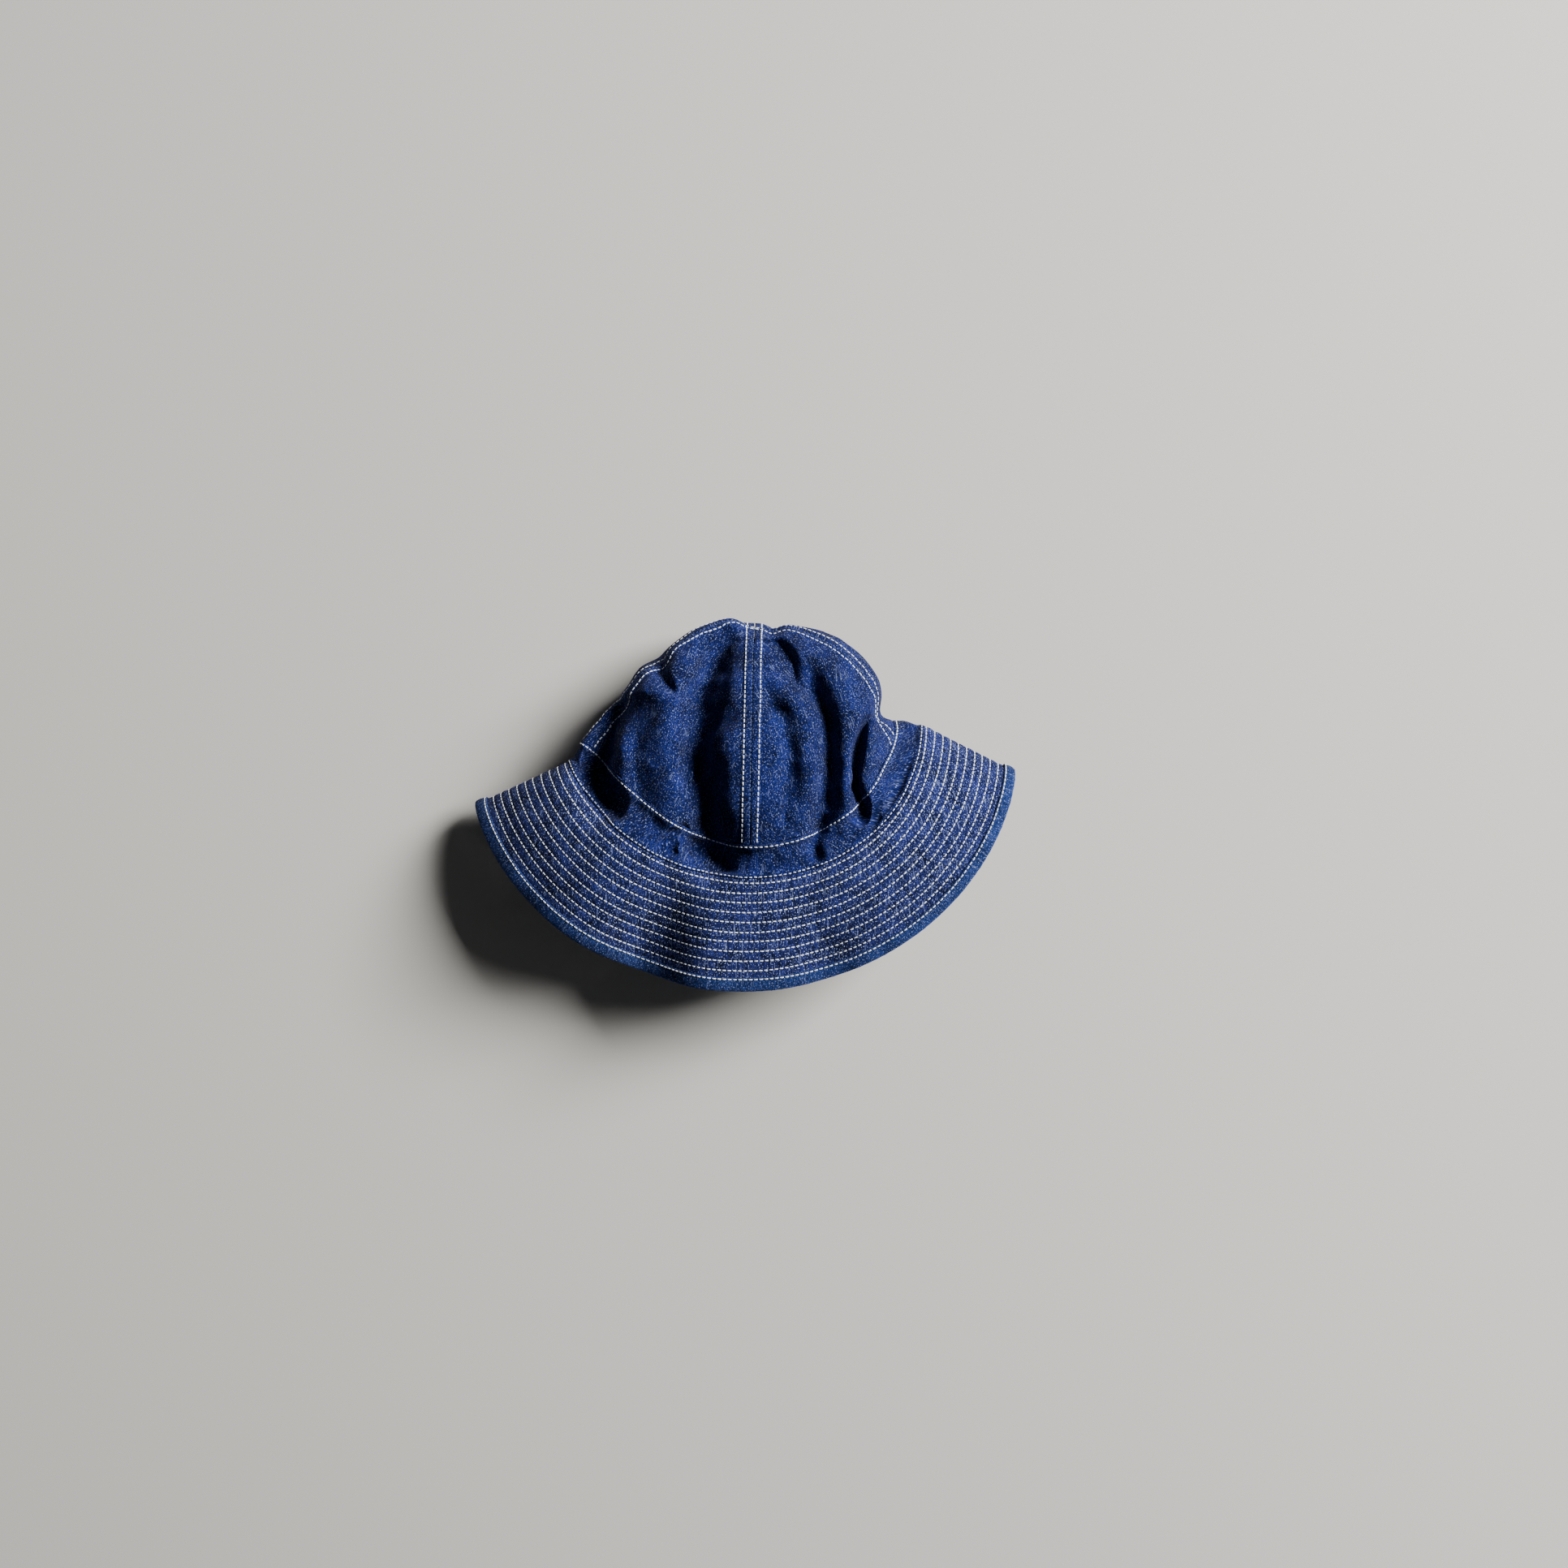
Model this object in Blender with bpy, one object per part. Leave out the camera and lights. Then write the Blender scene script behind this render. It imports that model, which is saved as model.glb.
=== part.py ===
"""Denim sailor hat with a stitched brim, lying on its back, half flattened.

Metres, +Z up. The floor is z = 0, the crown's top points to +Y and the mouth of the head
hollow to -Y. The origin is the middle of the hat's footprint.

Every piece is cut from one surface. A point on it has a turn in degrees, 0 at the centre
front, 90 at the right side seam, 180 at the centre back and -90 at the left side seam, and a
way: 0 at the crown's tip, 1 at the crown's foot, 2 at the band's foot and 3 at the brim's edge.
"""

import math

import bmesh
import bpy
import numpy as np

# Driving sizes of the hat as it lies
CROWN_WIDTH = 0.1793        # between the side folds at the crown's foot
CROWN_LENGTH = 0.1208      # from the crown's tip to its foot at the front, seen from above
CROWN_RISE = 0.0815        # highest line of the crown over the floor
BAND_WIDTH = 0.019
BRIM_WIDTH = 0.064
BRIM_DOME = 0.0030         # how far the brim bulges between its seam and its edge
BINDING_WIDTH = 0.008

# Cloth and sewing
CROWN_CLOTH = 0.0012
BAND_CLOTH = 0.0015
BRIM_PLY = 0.0010
BINDING_CLOTH = 0.0010
FELL_WIDTH = 0.0090        # doubled cloth along each crown seam
FELL_CLOTH = 0.0007        # how far the doubled cloth stands up
FELL_STEP = 0.0008         # width of the step down from it
TIP_HOLE = 0.0012          # the panels end this far from the crown's tip
SEWN_GAP = 0.0004          # between pieces that are sewn edge to edge
PLY_GAP = 0.0003           # between layers of cloth

SEAM_LEAD = 16.0           # degrees by which the side seams lie above the side folds
LEFT_SOFTNESS = 0.30       # how round the left side fold is, seen from above
RIGHT_SOFTNESS = 0.16
FLAT_SHARE = 0.6           # the back lies flat where the cosine of its turn is over this
FOLD_FADE = (0.10, 0.55)   # cosines of turn between which the folds deepen from none to full
DOME_FADE = (-0.2, 0.6)    # and those between which the brim's dome does
FELL_FADE = (-0.1, 0.5)    # and those between which, at the back, the fells turn inward
EDGE_LIFT = 1.3            # how much more the waves lift the brim near its edge
FELL_SHARE = 0.40          # a fell takes at most this share of its panel's width

# Lines of equal way on the crown. x is a share of CROWN_WIDTH and y of CROWN_LENGTH, both from
# the crown's tip, and z is a share of CROWN_RISE. A fullness over 1 straightens a line's flank.
CROWN_COLUMNS = (
    "way", "left_x", "left_y", "right_x", "right_y", "front_y", "front_z",
    "back_y", "back_z", "side_z", "left_full", "right_full",
)
CROWN_LINES = (
    (0.00, 0.000, 0.000, 0.000, 0.000, 0.000, 0.417, 0.000, 0.417, 0.417, 1.0, 1.0),
    (0.10, -0.073, 0.052, 0.067, 0.030, -0.046, 0.577, 0.041, 0.264, 0.380, 1.0, 1.0),
    (0.25, -0.175, 0.016, 0.166, 0.010, -0.177, 0.744, -0.017, 0.076, 0.368, 1.0, 1.0),
    (0.40, -0.269, -0.070, 0.261, -0.036, -0.325, 0.865, -0.153, 0.006, 0.368, 1.0, 1.0),
    (0.55, -0.350, -0.161, 0.339, -0.126, -0.488, 0.944, -0.320, 0.000, 0.368, 1.1, 1.0),
    (0.70, -0.408, -0.275, 0.395, -0.243, -0.658, 0.991, -0.493, 0.000, 0.368, 1.3, 1.0),
    (0.85, -0.474, -0.392, 0.417, -0.346, -0.828, 0.994, -0.666, 0.000, 0.368, 1.6, 1.0),
    (1.00, -0.551, -0.527, 0.449, -0.416, -1.000, 0.945, -0.840, 0.000, 0.356, 1.9, 0.95),
)
FRONT_DRIFT = -0.011       # the centre front seam's sideways drift at its foot, of CROWN_WIDTH

# How the band and then the brim leave the line before them, at each side of the hat, as shares
# of their own width
OUTWARD_COLUMNS = ("left", "right", "front", "back")
BAND_OUTWARD = (
    (-0.342, -0.586, 0.263),
    (0.779, -0.210, 0.316),
    (0.0, -0.988, -0.158),
    (0.0, -1.0, 0.0),
)
BRIM_OUTWARD = (
    (-0.873, -0.385, -0.266),
    (0.838, -0.412, -0.281),
    (-0.030, -0.982, -0.219),
    (-0.030, -0.990, 0.020),
)
BAND_FULLNESS = (1.12, 0.85)
BRIM_FULLNESS = (1.05, 1.05)

# Dents and folds of the upper side: a valley along a bent line from start through pull to end.
# x and both widths are shares of CROWN_WIDTH, y of CROWN_LENGTH, depth of CROWN_RISE.
FOLD_COLUMNS = (
    "start_x", "start_y", "pull_x", "pull_y", "end_x", "end_y", "width", "depth",
)
FOLDS = {
    "deep valley beside the front seam": (
        -0.050, -0.030, -0.240, -0.420, -0.090, -1.200, 0.054, 0.310),
    "pinch right of the tip": (0.090, -0.020, 0.128, -0.170, 0.160, -0.330, 0.034, 0.120),
    "long right valley": (0.202, -0.224, 0.240, -0.450, 0.252, -0.722, 0.048, 0.125),
    "tuck over the right side seam": (
        0.380, -0.290, 0.352, -0.600, 0.300, -0.900, 0.046, 0.190),
    "crease right of the front seam": (
        0.040, -0.372, 0.070, -0.480, 0.108, -0.612, 0.026, 0.050),
    "left flank": (-0.440, -0.409, -0.430, -0.600, -0.382, -0.796, 0.045, 0.200),
    "notch in the left outline": (
        -0.370, -0.231, -0.290, -0.250, -0.200, -0.170, 0.034, 0.110),
    "right buckle of the band": (0.214, -0.888, 0.222, -0.980, 0.214, -1.066, 0.020, 0.060),
    "left buckle of the band": (-0.250, -0.888, -0.262, -0.950, -0.283, -0.999, 0.022, 0.060),
}

# Waves of the brim: turn and reach in degrees, rise at the edge as a share of BRIM_WIDTH
WAVE_COLUMNS = ("turn", "reach", "rise")
WAVES = (
    (-22.0, 13.0, -0.110),
    (6.0, 10.0, 0.055),
    (48.0, 16.0, 0.050),
    (-58.0, 12.0, 0.040),
    (128.0, 15.0, 0.150),
    (168.0, 13.0, 0.110),
    (-147.0, 16.0, 0.170),
)

# Fineness of the solids
FRONT_COLUMNS = 22
BACK_COLUMNS = 9
BACK_CROWDING = 1.5        # columns of the back crowd towards the side folds
SHARP_ANGLE = 50.0         # edges that bend more than this many degrees are drawn sharp
CROWN_ROWS = 16
BRIM_ROWS = 3
FOLD_STEPS = 12
TURN_PROBE = 0.2           # step in degrees for slopes round the hat
WAY_PROBE = 0.06           # step in way for slopes, wide enough to round the bends at seams
TIP_ROUND = 0.12           # way up to which the normals turn towards the tip's own

PANELS = (
    ("crown_front_left", -90.0, 0.0, FRONT_COLUMNS),
    ("crown_front_right", 90.0, 0.0, FRONT_COLUMNS),
    ("crown_back_right", 90.0, 180.0, BACK_COLUMNS),
    ("crown_back_left", 270.0, 180.0, BACK_COLUMNS),
)

DENIM = (0.045, 0.065, 0.190)
BRIM_DENIM = (0.050, 0.072, 0.205)
BINDING_BLUE = (0.050, 0.110, 0.290)
CLOTH_ROUGHNESS = 0.9


def columns(names, rows):
    """A table's rows as arrays under its column names."""
    return dict(zip(names, np.array(rows, dtype=float).T))


def eased(knots, values, at):
    """A smooth curve through the knots, with no overshoot between them."""
    steps = np.diff(values) / np.diff(knots)
    slopes = np.zeros_like(values)
    slopes[0], slopes[-1] = steps[0], steps[-1]
    before, after = steps[:-1], steps[1:]
    same_way = before * after > 0
    total = np.where(same_way, before + after, 1.0)
    slopes[1:-1] = np.where(same_way, 2.0 * before * after / total, 0.0)
    place = np.clip(np.searchsorted(knots, at, side="right") - 1, 0, len(knots) - 2)
    span = knots[place + 1] - knots[place]
    t = (at - knots[place]) / span
    return (
        values[place] * (1 + 2 * t) * (1 - t) ** 2
        + values[place + 1] * t * t * (3 - 2 * t)
        + span * t * (1 - t) * (slopes[place] * (1 - t) - slopes[place + 1] * t)
    )


def step_up(low, high, value):
    """0 below low, 1 above high, and smooth between."""
    t = np.clip((value - low) / (high - low), 0.0, 1.0)
    return t * t * (3 - 2 * t)


def frame_lines(way):
    """The left, right, front and back points and the fullness of the line at each way."""
    table = columns(CROWN_COLUMNS, CROWN_LINES)
    on_crown = np.clip(way, 0.0, 1.0)
    value = {name: eased(table["way"], table[name], on_crown) for name in CROWN_COLUMNS[1:]}
    middle = FRONT_DRIFT * CROWN_WIDTH * on_crown
    side_z = value["side_z"] * CROWN_RISE
    points = {
        "left": (value["left_x"] * CROWN_WIDTH, value["left_y"] * CROWN_LENGTH, side_z),
        "right": (value["right_x"] * CROWN_WIDTH, value["right_y"] * CROWN_LENGTH, side_z),
        "front": (middle, value["front_y"] * CROWN_LENGTH, value["front_z"] * CROWN_RISE),
        "back": (middle, value["back_y"] * CROWN_LENGTH, value["back_z"] * CROWN_RISE),
    }
    on_band = np.clip(way - 1.0, 0.0, 1.0)
    on_brim = np.clip(way - 2.0, 0.0, 1.0)
    for number, name in enumerate(OUTWARD_COLUMNS):
        band = np.outer(on_band * BAND_WIDTH, BAND_OUTWARD[number])
        brim = np.outer(on_brim * BRIM_WIDTH, BRIM_OUTWARD[number])
        points[name] = np.stack(points[name], axis=-1) + band + brim
    left_full = value["left_full"] + on_band * (BAND_FULLNESS[0] - CROWN_LINES[-1][-2])
    right_full = value["right_full"] + on_band * (BAND_FULLNESS[1] - CROWN_LINES[-1][-1])
    left_full += on_brim * (BRIM_FULLNESS[0] - BAND_FULLNESS[0])
    right_full += on_brim * (BRIM_FULLNESS[1] - BAND_FULLNESS[1])
    return points, left_full, right_full


def fold_depth(x, y):
    """How deep the folds press the upper side down at a place seen from above."""
    depth = np.zeros_like(x)
    place = np.stack([x, y], axis=-1)[:, None]
    t = np.linspace(0.0, 1.0, FOLD_STEPS + 1)[:, None]
    for row in FOLDS.values():
        fold = dict(zip(FOLD_COLUMNS, row))
        start, pull, end = (
            np.array([fold[end + "_x"] * CROWN_WIDTH, fold[end + "_y"] * CROWN_LENGTH])
            for end in ("start", "pull", "end")
        )
        line = start * (1 - t) ** 2 + pull * 2 * t * (1 - t) + end * t * t
        step = np.diff(line, axis=0)
        from_line = place - line[:-1]
        share = np.clip((from_line * step).sum(-1) / (step * step).sum(-1), 0.0, 1.0)
        away = np.linalg.norm(from_line - share[..., None] * step, axis=-1)
        nearest = away.argmin(axis=1)
        each = np.arange(len(x))
        down_fold = (nearest + share[each, nearest]) / FOLD_STEPS
        fading = 1 - np.abs(2 * down_fold - 1) ** 3
        shape = np.exp(-((away[each, nearest] / (fold["width"] * CROWN_WIDTH)) ** 2))
        depth += fold["depth"] * CROWN_RISE * shape * fading
    return depth


def wave_rise(turn):
    """How far the brim's waves lift its edge at each turn."""
    waves = columns(WAVE_COLUMNS, WAVES)
    away = (turn[:, None] - waves["turn"] + 180.0) % 360.0 - 180.0
    return (waves["rise"] * np.exp(-((away / waves["reach"]) ** 2))).sum(axis=1) * BRIM_WIDTH


def surface(turn, way):
    """Points of the hat's outer surface, with the crown's tip at x = y = 0."""
    turn = np.atleast_1d(np.asarray(turn, dtype=float))
    way = np.atleast_1d(np.asarray(way, dtype=float))
    turn, way = np.broadcast_arrays(turn, way)
    turn = (turn + 180.0) % 360.0 - 180.0
    points, left_full, right_full = frame_lines(way)
    lead = SEAM_LEAD * (1.0 - step_up(1.0, 2.0, way))
    size = np.abs(turn)
    angle = np.where(
        size <= 90.0,
        size * (90.0 - lead) / 90.0,
        180.0 - (180.0 - size) * (90.0 + lead) / 90.0,
    )
    across = np.sin(np.radians(angle))
    along = np.cos(np.radians(angle))
    over = np.abs(along)
    right = turn >= 0.0
    upper = along >= 0.0
    side = np.where(right[:, None], points["right"], points["left"])
    middle = np.where(upper[:, None], points["front"], points["back"])
    fullness = np.where(upper, np.where(right, right_full, left_full), 1.0)
    soft = np.where(right, RIGHT_SOFTNESS, LEFT_SOFTNESS)
    bow = (np.hypot(over, soft) - soft) / (np.hypot(1.0, soft) - soft)
    bow = bow**fullness
    lying = np.minimum(over / FLAT_SHARE, 1.0)
    height = np.where(upper, 1 - (1 - over) ** 2, 1 - (1 - lying) ** 2)
    x = middle[:, 0] + (side[:, 0] - middle[:, 0]) * across
    y = side[:, 1] + (middle[:, 1] - side[:, 1]) * bow
    z = side[:, 2] + (middle[:, 2] - side[:, 2]) * height
    z -= fold_depth(x, y) * step_up(*FOLD_FADE, along)
    on_brim = np.clip(way - 2.0, 0.0, 1.0)
    z += BRIM_DOME * 4 * on_brim * (1 - on_brim) * step_up(*DOME_FADE, along)
    z += wave_rise(turn) * on_brim**EDGE_LIFT
    clear = step_up(2.0, 3.0 - BINDING_WIDTH / BRIM_WIDTH, way) * (PLY_GAP + BINDING_CLOTH)
    return np.stack([x, y, np.maximum(z, clear)], axis=-1)


def unit(vectors):
    return vectors / np.linalg.norm(vectors, axis=-1, keepdims=True)


def outward(turn, way):
    """Unit normals that point out of the hat, with a common one at the crown's tip."""
    turn, way = np.broadcast_arrays(
        np.atleast_1d(np.asarray(turn, float)), np.atleast_1d(np.asarray(way, float))
    )
    at_tip = slope_normal(np.linspace(-180.0, 135.0, 8), np.full(8, TIP_ROUND)).mean(axis=0)
    near = step_up(0.0, TIP_ROUND, way)[:, None]
    return unit(slope_normal(turn, way) * near + unit(at_tip) * (1 - near))


def slope_normal(turn, way):
    """Unit normals of the surface from its slopes."""
    low = np.maximum(way - WAY_PROBE, 0.0)
    high = np.minimum(way + WAY_PROBE, 3.0)
    down = surface(turn, high) - surface(turn, low)
    around = surface(turn + TURN_PROBE, way) - surface(turn - TURN_PROBE, way)
    return unit(np.cross(down, around))


def turns_from_seam(seam, distance, way):
    """The change of turn that lies a distance along the cloth from a seam, at one way."""
    near = surface([seam, seam + math.copysign(TURN_PROBE, distance)], way)
    return distance * TURN_PROBE / np.linalg.norm(near[1] - near[0])


def panel_turns(side, middle, count, way):
    """Turns of a quarter panel's columns, from its side seam to the front or back seam.

    They are the edges of its fells and the columns of the cloth between.
    """
    toward = math.copysign(1.0, middle - side)
    edge_steps = (SEWN_GAP / 2, FELL_WIDTH / 2, FELL_WIDTH / 2 + FELL_STEP)
    corners = surface(np.linspace(side, middle, 9), way)
    width = np.linalg.norm(np.diff(corners, axis=0), axis=1).sum()
    shrink = min(1.0, FELL_SHARE * width / edge_steps[-1])
    starts = [side + turns_from_seam(side, toward * s * shrink, way) for s in edge_steps]
    ends = [middle + turns_from_seam(middle, -toward * s * shrink, way) for s in edge_steps]
    crowding = BACK_CROWDING if max(side, middle) > 90.0 else 1.0
    share = np.linspace(0.0, 1.0, count + 2)[1:-1] ** crowding
    inner = starts[-1] + (ends[-1] - starts[-1]) * share
    return np.concatenate([starts, inner, ends[::-1]])


def object_from(name, points, faces, color):
    """A closed body as an object with its own material, its origin at the hat's origin."""
    mesh = bpy.data.meshes.new(name)
    mesh.from_pydata([tuple(p) for p in points], [], faces)
    mesh.validate()
    body = bmesh.new()
    body.from_mesh(mesh)
    bmesh.ops.triangulate(body, faces=body.faces, quad_method="FIXED")
    bmesh.ops.recalc_face_normals(body, faces=body.faces)
    if body.calc_volume(signed=True) < 0:
        bmesh.ops.reverse_faces(body, faces=body.faces)
    body.to_mesh(mesh)
    body.free()
    mesh.shade_smooth()
    mesh.set_sharp_from_angle(angle=math.radians(SHARP_ANGLE))
    material = bpy.data.materials.new(name)
    material.use_nodes = True
    shader = material.node_tree.nodes["Principled BSDF"]
    shader.inputs["Base Color"].default_value = (*color, 1.0)
    shader.inputs["Roughness"].default_value = CLOTH_ROUGHNESS
    shader.inputs["Metallic"].default_value = 0.0
    mesh.materials.append(material)
    piece = bpy.data.objects.new(name, mesh)
    bpy.context.scene.collection.objects.link(piece)
    return piece


def flipped(quad, turned):
    """A quad seen from its other side, still split along the same diagonal."""
    return quad[:1] + quad[:0:-1] if turned else quad


def skin_faces(rows, count, first, turned, closed):
    """Quads of a grid of points, rows by count, whose first point is number first."""
    faces = []
    for row in range(rows - 1):
        for column in range(count if closed else count - 1):
            beside = (column + 1) % count
            quad = [
                first + row * count + column,
                first + row * count + beside,
                first + (row + 1) * count + beside,
                first + (row + 1) * count + column,
            ]
            faces.append(flipped(quad, turned))
    return faces


def sheet_solid(name, turns, ways, outer, inner, color, closed):
    """Cloth between two offsets of the surface, over a grid of turns (a row for each way)."""
    rows, count = turns.shape
    flat_turns = turns.ravel()
    flat_ways = np.repeat(ways, count)
    base = surface(flat_turns, flat_ways) - HAT_MIDDLE
    normal = outward(flat_turns, flat_ways)
    top = base + normal * np.ravel(outer)[:, None]
    under = base + normal * np.ravel(inner)[:, None]
    points = np.concatenate([top, under])
    total = rows * count
    faces = skin_faces(rows, count, 0, False, closed)
    faces += skin_faces(rows, count, total, True, closed)
    for row, turned in ((0, True), (rows - 1, False)):
        for column in range(count if closed else count - 1):
            a = row * count + column
            b = row * count + (column + 1) % count
            faces.append(flipped([a, b, b + total, a + total], not turned))
    if not closed:
        for column, turned in ((0, False), (count - 1, True)):
            for row in range(rows - 1):
                a = row * count + column
                b = a + count
                faces.append(flipped([a, b, b + total, a + total], not turned))
    return object_from(name, points, faces, color)


def crown_panel(name, side, middle, count):
    """One quarter of the crown, with doubled cloth along both of its seams."""
    near_tip = CROWN_LINES[1][0]
    reach = np.linalg.norm(surface(0.0, near_tip) - surface(0.0, 0.0))
    tip_way = near_tip * TIP_HOLE / reach
    foot_way = 1.0 - SEWN_GAP / 2 / CROWN_LENGTH
    ways = np.concatenate([[tip_way], np.linspace(0.0, foot_way, CROWN_ROWS + 1)[1:]])
    turns = np.array([panel_turns(side, middle, count, way) for way in ways])
    fell = np.zeros(turns.shape)
    fell[:, :2] = FELL_CLOTH
    fell[:, -2:] = FELL_CLOTH
    lying = step_up(*FELL_FADE, -np.cos(np.radians(turns)))
    outer = fell * (1 - lying)
    inner = -CROWN_CLOTH - fell * lying
    return sheet_solid(name, turns, ways, outer, inner, DENIM, closed=False)


def ring_turns():
    """Turns all the way round, matched to the columns at the foot of the four panels."""
    turns = []
    for _name, side, middle, count in PANELS:
        at_foot = panel_turns(side, middle, count, 1.0)
        turns += [min(side, middle), at_foot[1], *at_foot[3:-3], at_foot[-2]]
    return np.sort(turns)


def ring_solid(name, ways, outer, inner, color):
    """Cloth that runs all the way round the hat between two offsets of the surface."""
    turns = np.tile(ring_turns(), (len(ways), 1))
    shape = np.ones(turns.shape)
    return sheet_solid(name, turns, ways, outer * shape, inner * shape, color, closed=True)


def band():
    ways = np.linspace(1.0, 2.0, 3)
    half_gap = SEWN_GAP / 2 / BAND_WIDTH
    ways[0] += half_gap
    ways[-1] -= half_gap
    ring_solid("crown_band", ways, 0.0, -BAND_CLOTH, DENIM)


def brim_ways():
    """Ways of the brim's rows, one of them where the binding begins."""
    start = 2.0 + SEWN_GAP / 2 / BRIM_WIDTH
    bound = 3.0 - BINDING_WIDTH / BRIM_WIDTH
    edge = 3.0 - (BINDING_CLOTH + PLY_GAP) / BRIM_WIDTH
    return np.concatenate([np.linspace(start, bound, BRIM_ROWS + 1), [edge]])


def brim_plies():
    ways = brim_ways()
    ring_solid("brim_top_ply", ways, 0.0, -BRIM_PLY, BRIM_DENIM)
    second = BRIM_PLY + PLY_GAP
    ring_solid("brim_under_ply", ways, -second, -second - BRIM_PLY, BRIM_DENIM)


def binding():
    """A strip folded over the brim's edge, with clear room round both plies."""
    inside, edge = brim_ways()[-2:]
    top = PLY_GAP
    under = -(2 * BRIM_PLY + 2 * PLY_GAP)
    rim = edge + PLY_GAP / BRIM_WIDTH
    corner = BINDING_CLOTH / 3
    profile = (
        (inside, top),
        (inside, top + BINDING_CLOTH),
        (rim, top + BINDING_CLOTH),
        (3.0, top + BINDING_CLOTH - 2 * corner),
        (3.0, under - BINDING_CLOTH + 2 * corner),
        (rim, under - BINDING_CLOTH),
        (inside, under - BINDING_CLOTH),
        (inside, under),
        (rim, under),
        (rim, top),
    )
    turns = ring_turns()
    count = len(turns)
    loops = [
        surface(turns, way) - HAT_MIDDLE + outward(turns, way) * off for way, off in profile
    ]
    faces = skin_faces(len(profile), count, 0, False, closed=True)
    last = (len(profile) - 1) * count
    for column in range(count):
        beside = (column + 1) % count
        faces.append([last + beside, beside, column, last + column])
    object_from("brim_binding", np.concatenate(loops), faces, BINDING_BLUE)


def footprint_middle():
    """The middle of the hat's footprint, from the surface's own reach."""
    turn, way = np.meshgrid(np.linspace(-180.0, 180.0, 181), np.linspace(0.02, 3.0, 61))
    reach = surface(turn.ravel(), way.ravel())
    low, high = reach.min(axis=0), reach.max(axis=0)
    return np.array([(low[0] + high[0]) / 2, (low[1] + high[1]) / 2, 0.0])


for old in list(bpy.data.objects):
    bpy.data.objects.remove(old, do_unlink=True)

HAT_MIDDLE = footprint_middle()

for panel in PANELS:
    crown_panel(*panel)
band()
brim_plies()
binding()
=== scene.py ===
"""Looks of a denim sailor hat that lies on its back, half flattened.

Every piece of cloth is cut from the same surface as the solids. A point on it has a turn in
degrees, 0 at the centre front, 90 at the right side seam and 180 at the centre back, and a
way: 0 at the crown's tip, 1 at the crown's foot, 2 at the band's foot and 3 at the brim's edge.
"""

import math

import bpy
import numpy as np
from bpy.props import FloatProperty, FloatVectorProperty, PointerProperty
from bpy.types import Operator, Panel, PropertyGroup
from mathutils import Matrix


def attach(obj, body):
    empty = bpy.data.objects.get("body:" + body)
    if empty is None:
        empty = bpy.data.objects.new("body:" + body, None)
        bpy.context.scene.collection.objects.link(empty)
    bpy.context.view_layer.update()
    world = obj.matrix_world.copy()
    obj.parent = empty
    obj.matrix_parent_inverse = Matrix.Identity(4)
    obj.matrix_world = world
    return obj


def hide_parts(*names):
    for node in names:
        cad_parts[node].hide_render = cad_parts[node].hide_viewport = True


bl_info = {
    "name": "Denim sailor hat",
    "version": (1, 0, 0),
    "blender": (4, 5, 0),
    "location": "View3D > Sidebar > Sailor hat",
    "description": "Dresses the solids of a lying denim sailor hat with cloth, seams and stitches",
    "category": "Object",
}

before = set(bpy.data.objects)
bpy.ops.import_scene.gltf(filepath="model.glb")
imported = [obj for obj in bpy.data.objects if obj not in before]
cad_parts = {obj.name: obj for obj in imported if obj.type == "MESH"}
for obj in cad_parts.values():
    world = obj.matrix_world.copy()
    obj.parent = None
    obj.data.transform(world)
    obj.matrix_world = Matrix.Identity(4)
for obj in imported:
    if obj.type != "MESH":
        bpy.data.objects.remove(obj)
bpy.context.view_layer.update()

# Sizes of the hat as it lies, as in its solids
CROWN_WIDTH = 0.1793
CROWN_LENGTH = 0.1208
CROWN_RISE = 0.0815
BAND_WIDTH = 0.019
BRIM_WIDTH = 0.064
BRIM_DOME = 0.0030
BINDING_WIDTH = 0.008
CROWN_CLOTH = 0.0012
BAND_CLOTH = 0.0015
BRIM_PLY = 0.0010
BINDING_CLOTH = 0.0010
FELL_CLOTH = 0.0007
SEWN_GAP = 0.0004
PLY_GAP = 0.0003
SEAM_LEAD = 16.0
LEFT_SOFTNESS = 0.30
RIGHT_SOFTNESS = 0.16
FLAT_SHARE = 0.6
FOLD_FADE = (0.02, 0.48)
DOME_FADE = (-0.2, 0.6)
FELL_FADE = (-0.1, 0.5)
FRONT_DRIFT = -0.011

# Lines of equal way on the crown: x is a share of CROWN_WIDTH, y of CROWN_LENGTH, z of
# CROWN_RISE, and a fullness over 1 straightens a line's flank
CROWN_COLUMNS = (
    "way", "left_x", "left_y", "right_x", "right_y", "front_y", "front_z",
    "back_y", "back_z", "side_z", "left_full", "right_full",
)
CROWN_LINES = (
    (0.00, 0.000, 0.000, 0.000, 0.000, 0.000, 0.417, 0.000, 0.417, 0.417, 1.0, 1.0),
    (0.10, -0.073, 0.052, 0.067, 0.030, -0.046, 0.577, 0.041, 0.264, 0.380, 1.0, 1.0),
    (0.25, -0.175, 0.016, 0.166, 0.010, -0.177, 0.744, -0.017, 0.076, 0.368, 1.0, 1.0),
    (0.40, -0.269, -0.070, 0.261, -0.036, -0.325, 0.865, -0.153, 0.006, 0.368, 1.0, 1.0),
    (0.55, -0.350, -0.161, 0.339, -0.126, -0.488, 0.944, -0.320, 0.000, 0.368, 1.1, 1.0),
    (0.70, -0.408, -0.275, 0.395, -0.243, -0.658, 0.991, -0.493, 0.000, 0.368, 1.3, 1.0),
    (0.85, -0.474, -0.392, 0.417, -0.346, -0.828, 0.994, -0.666, 0.000, 0.368, 1.6, 1.0),
    (1.00, -0.551, -0.527, 0.449, -0.416, -1.000, 0.945, -0.840, 0.000, 0.356, 1.9, 0.95),
)

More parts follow.
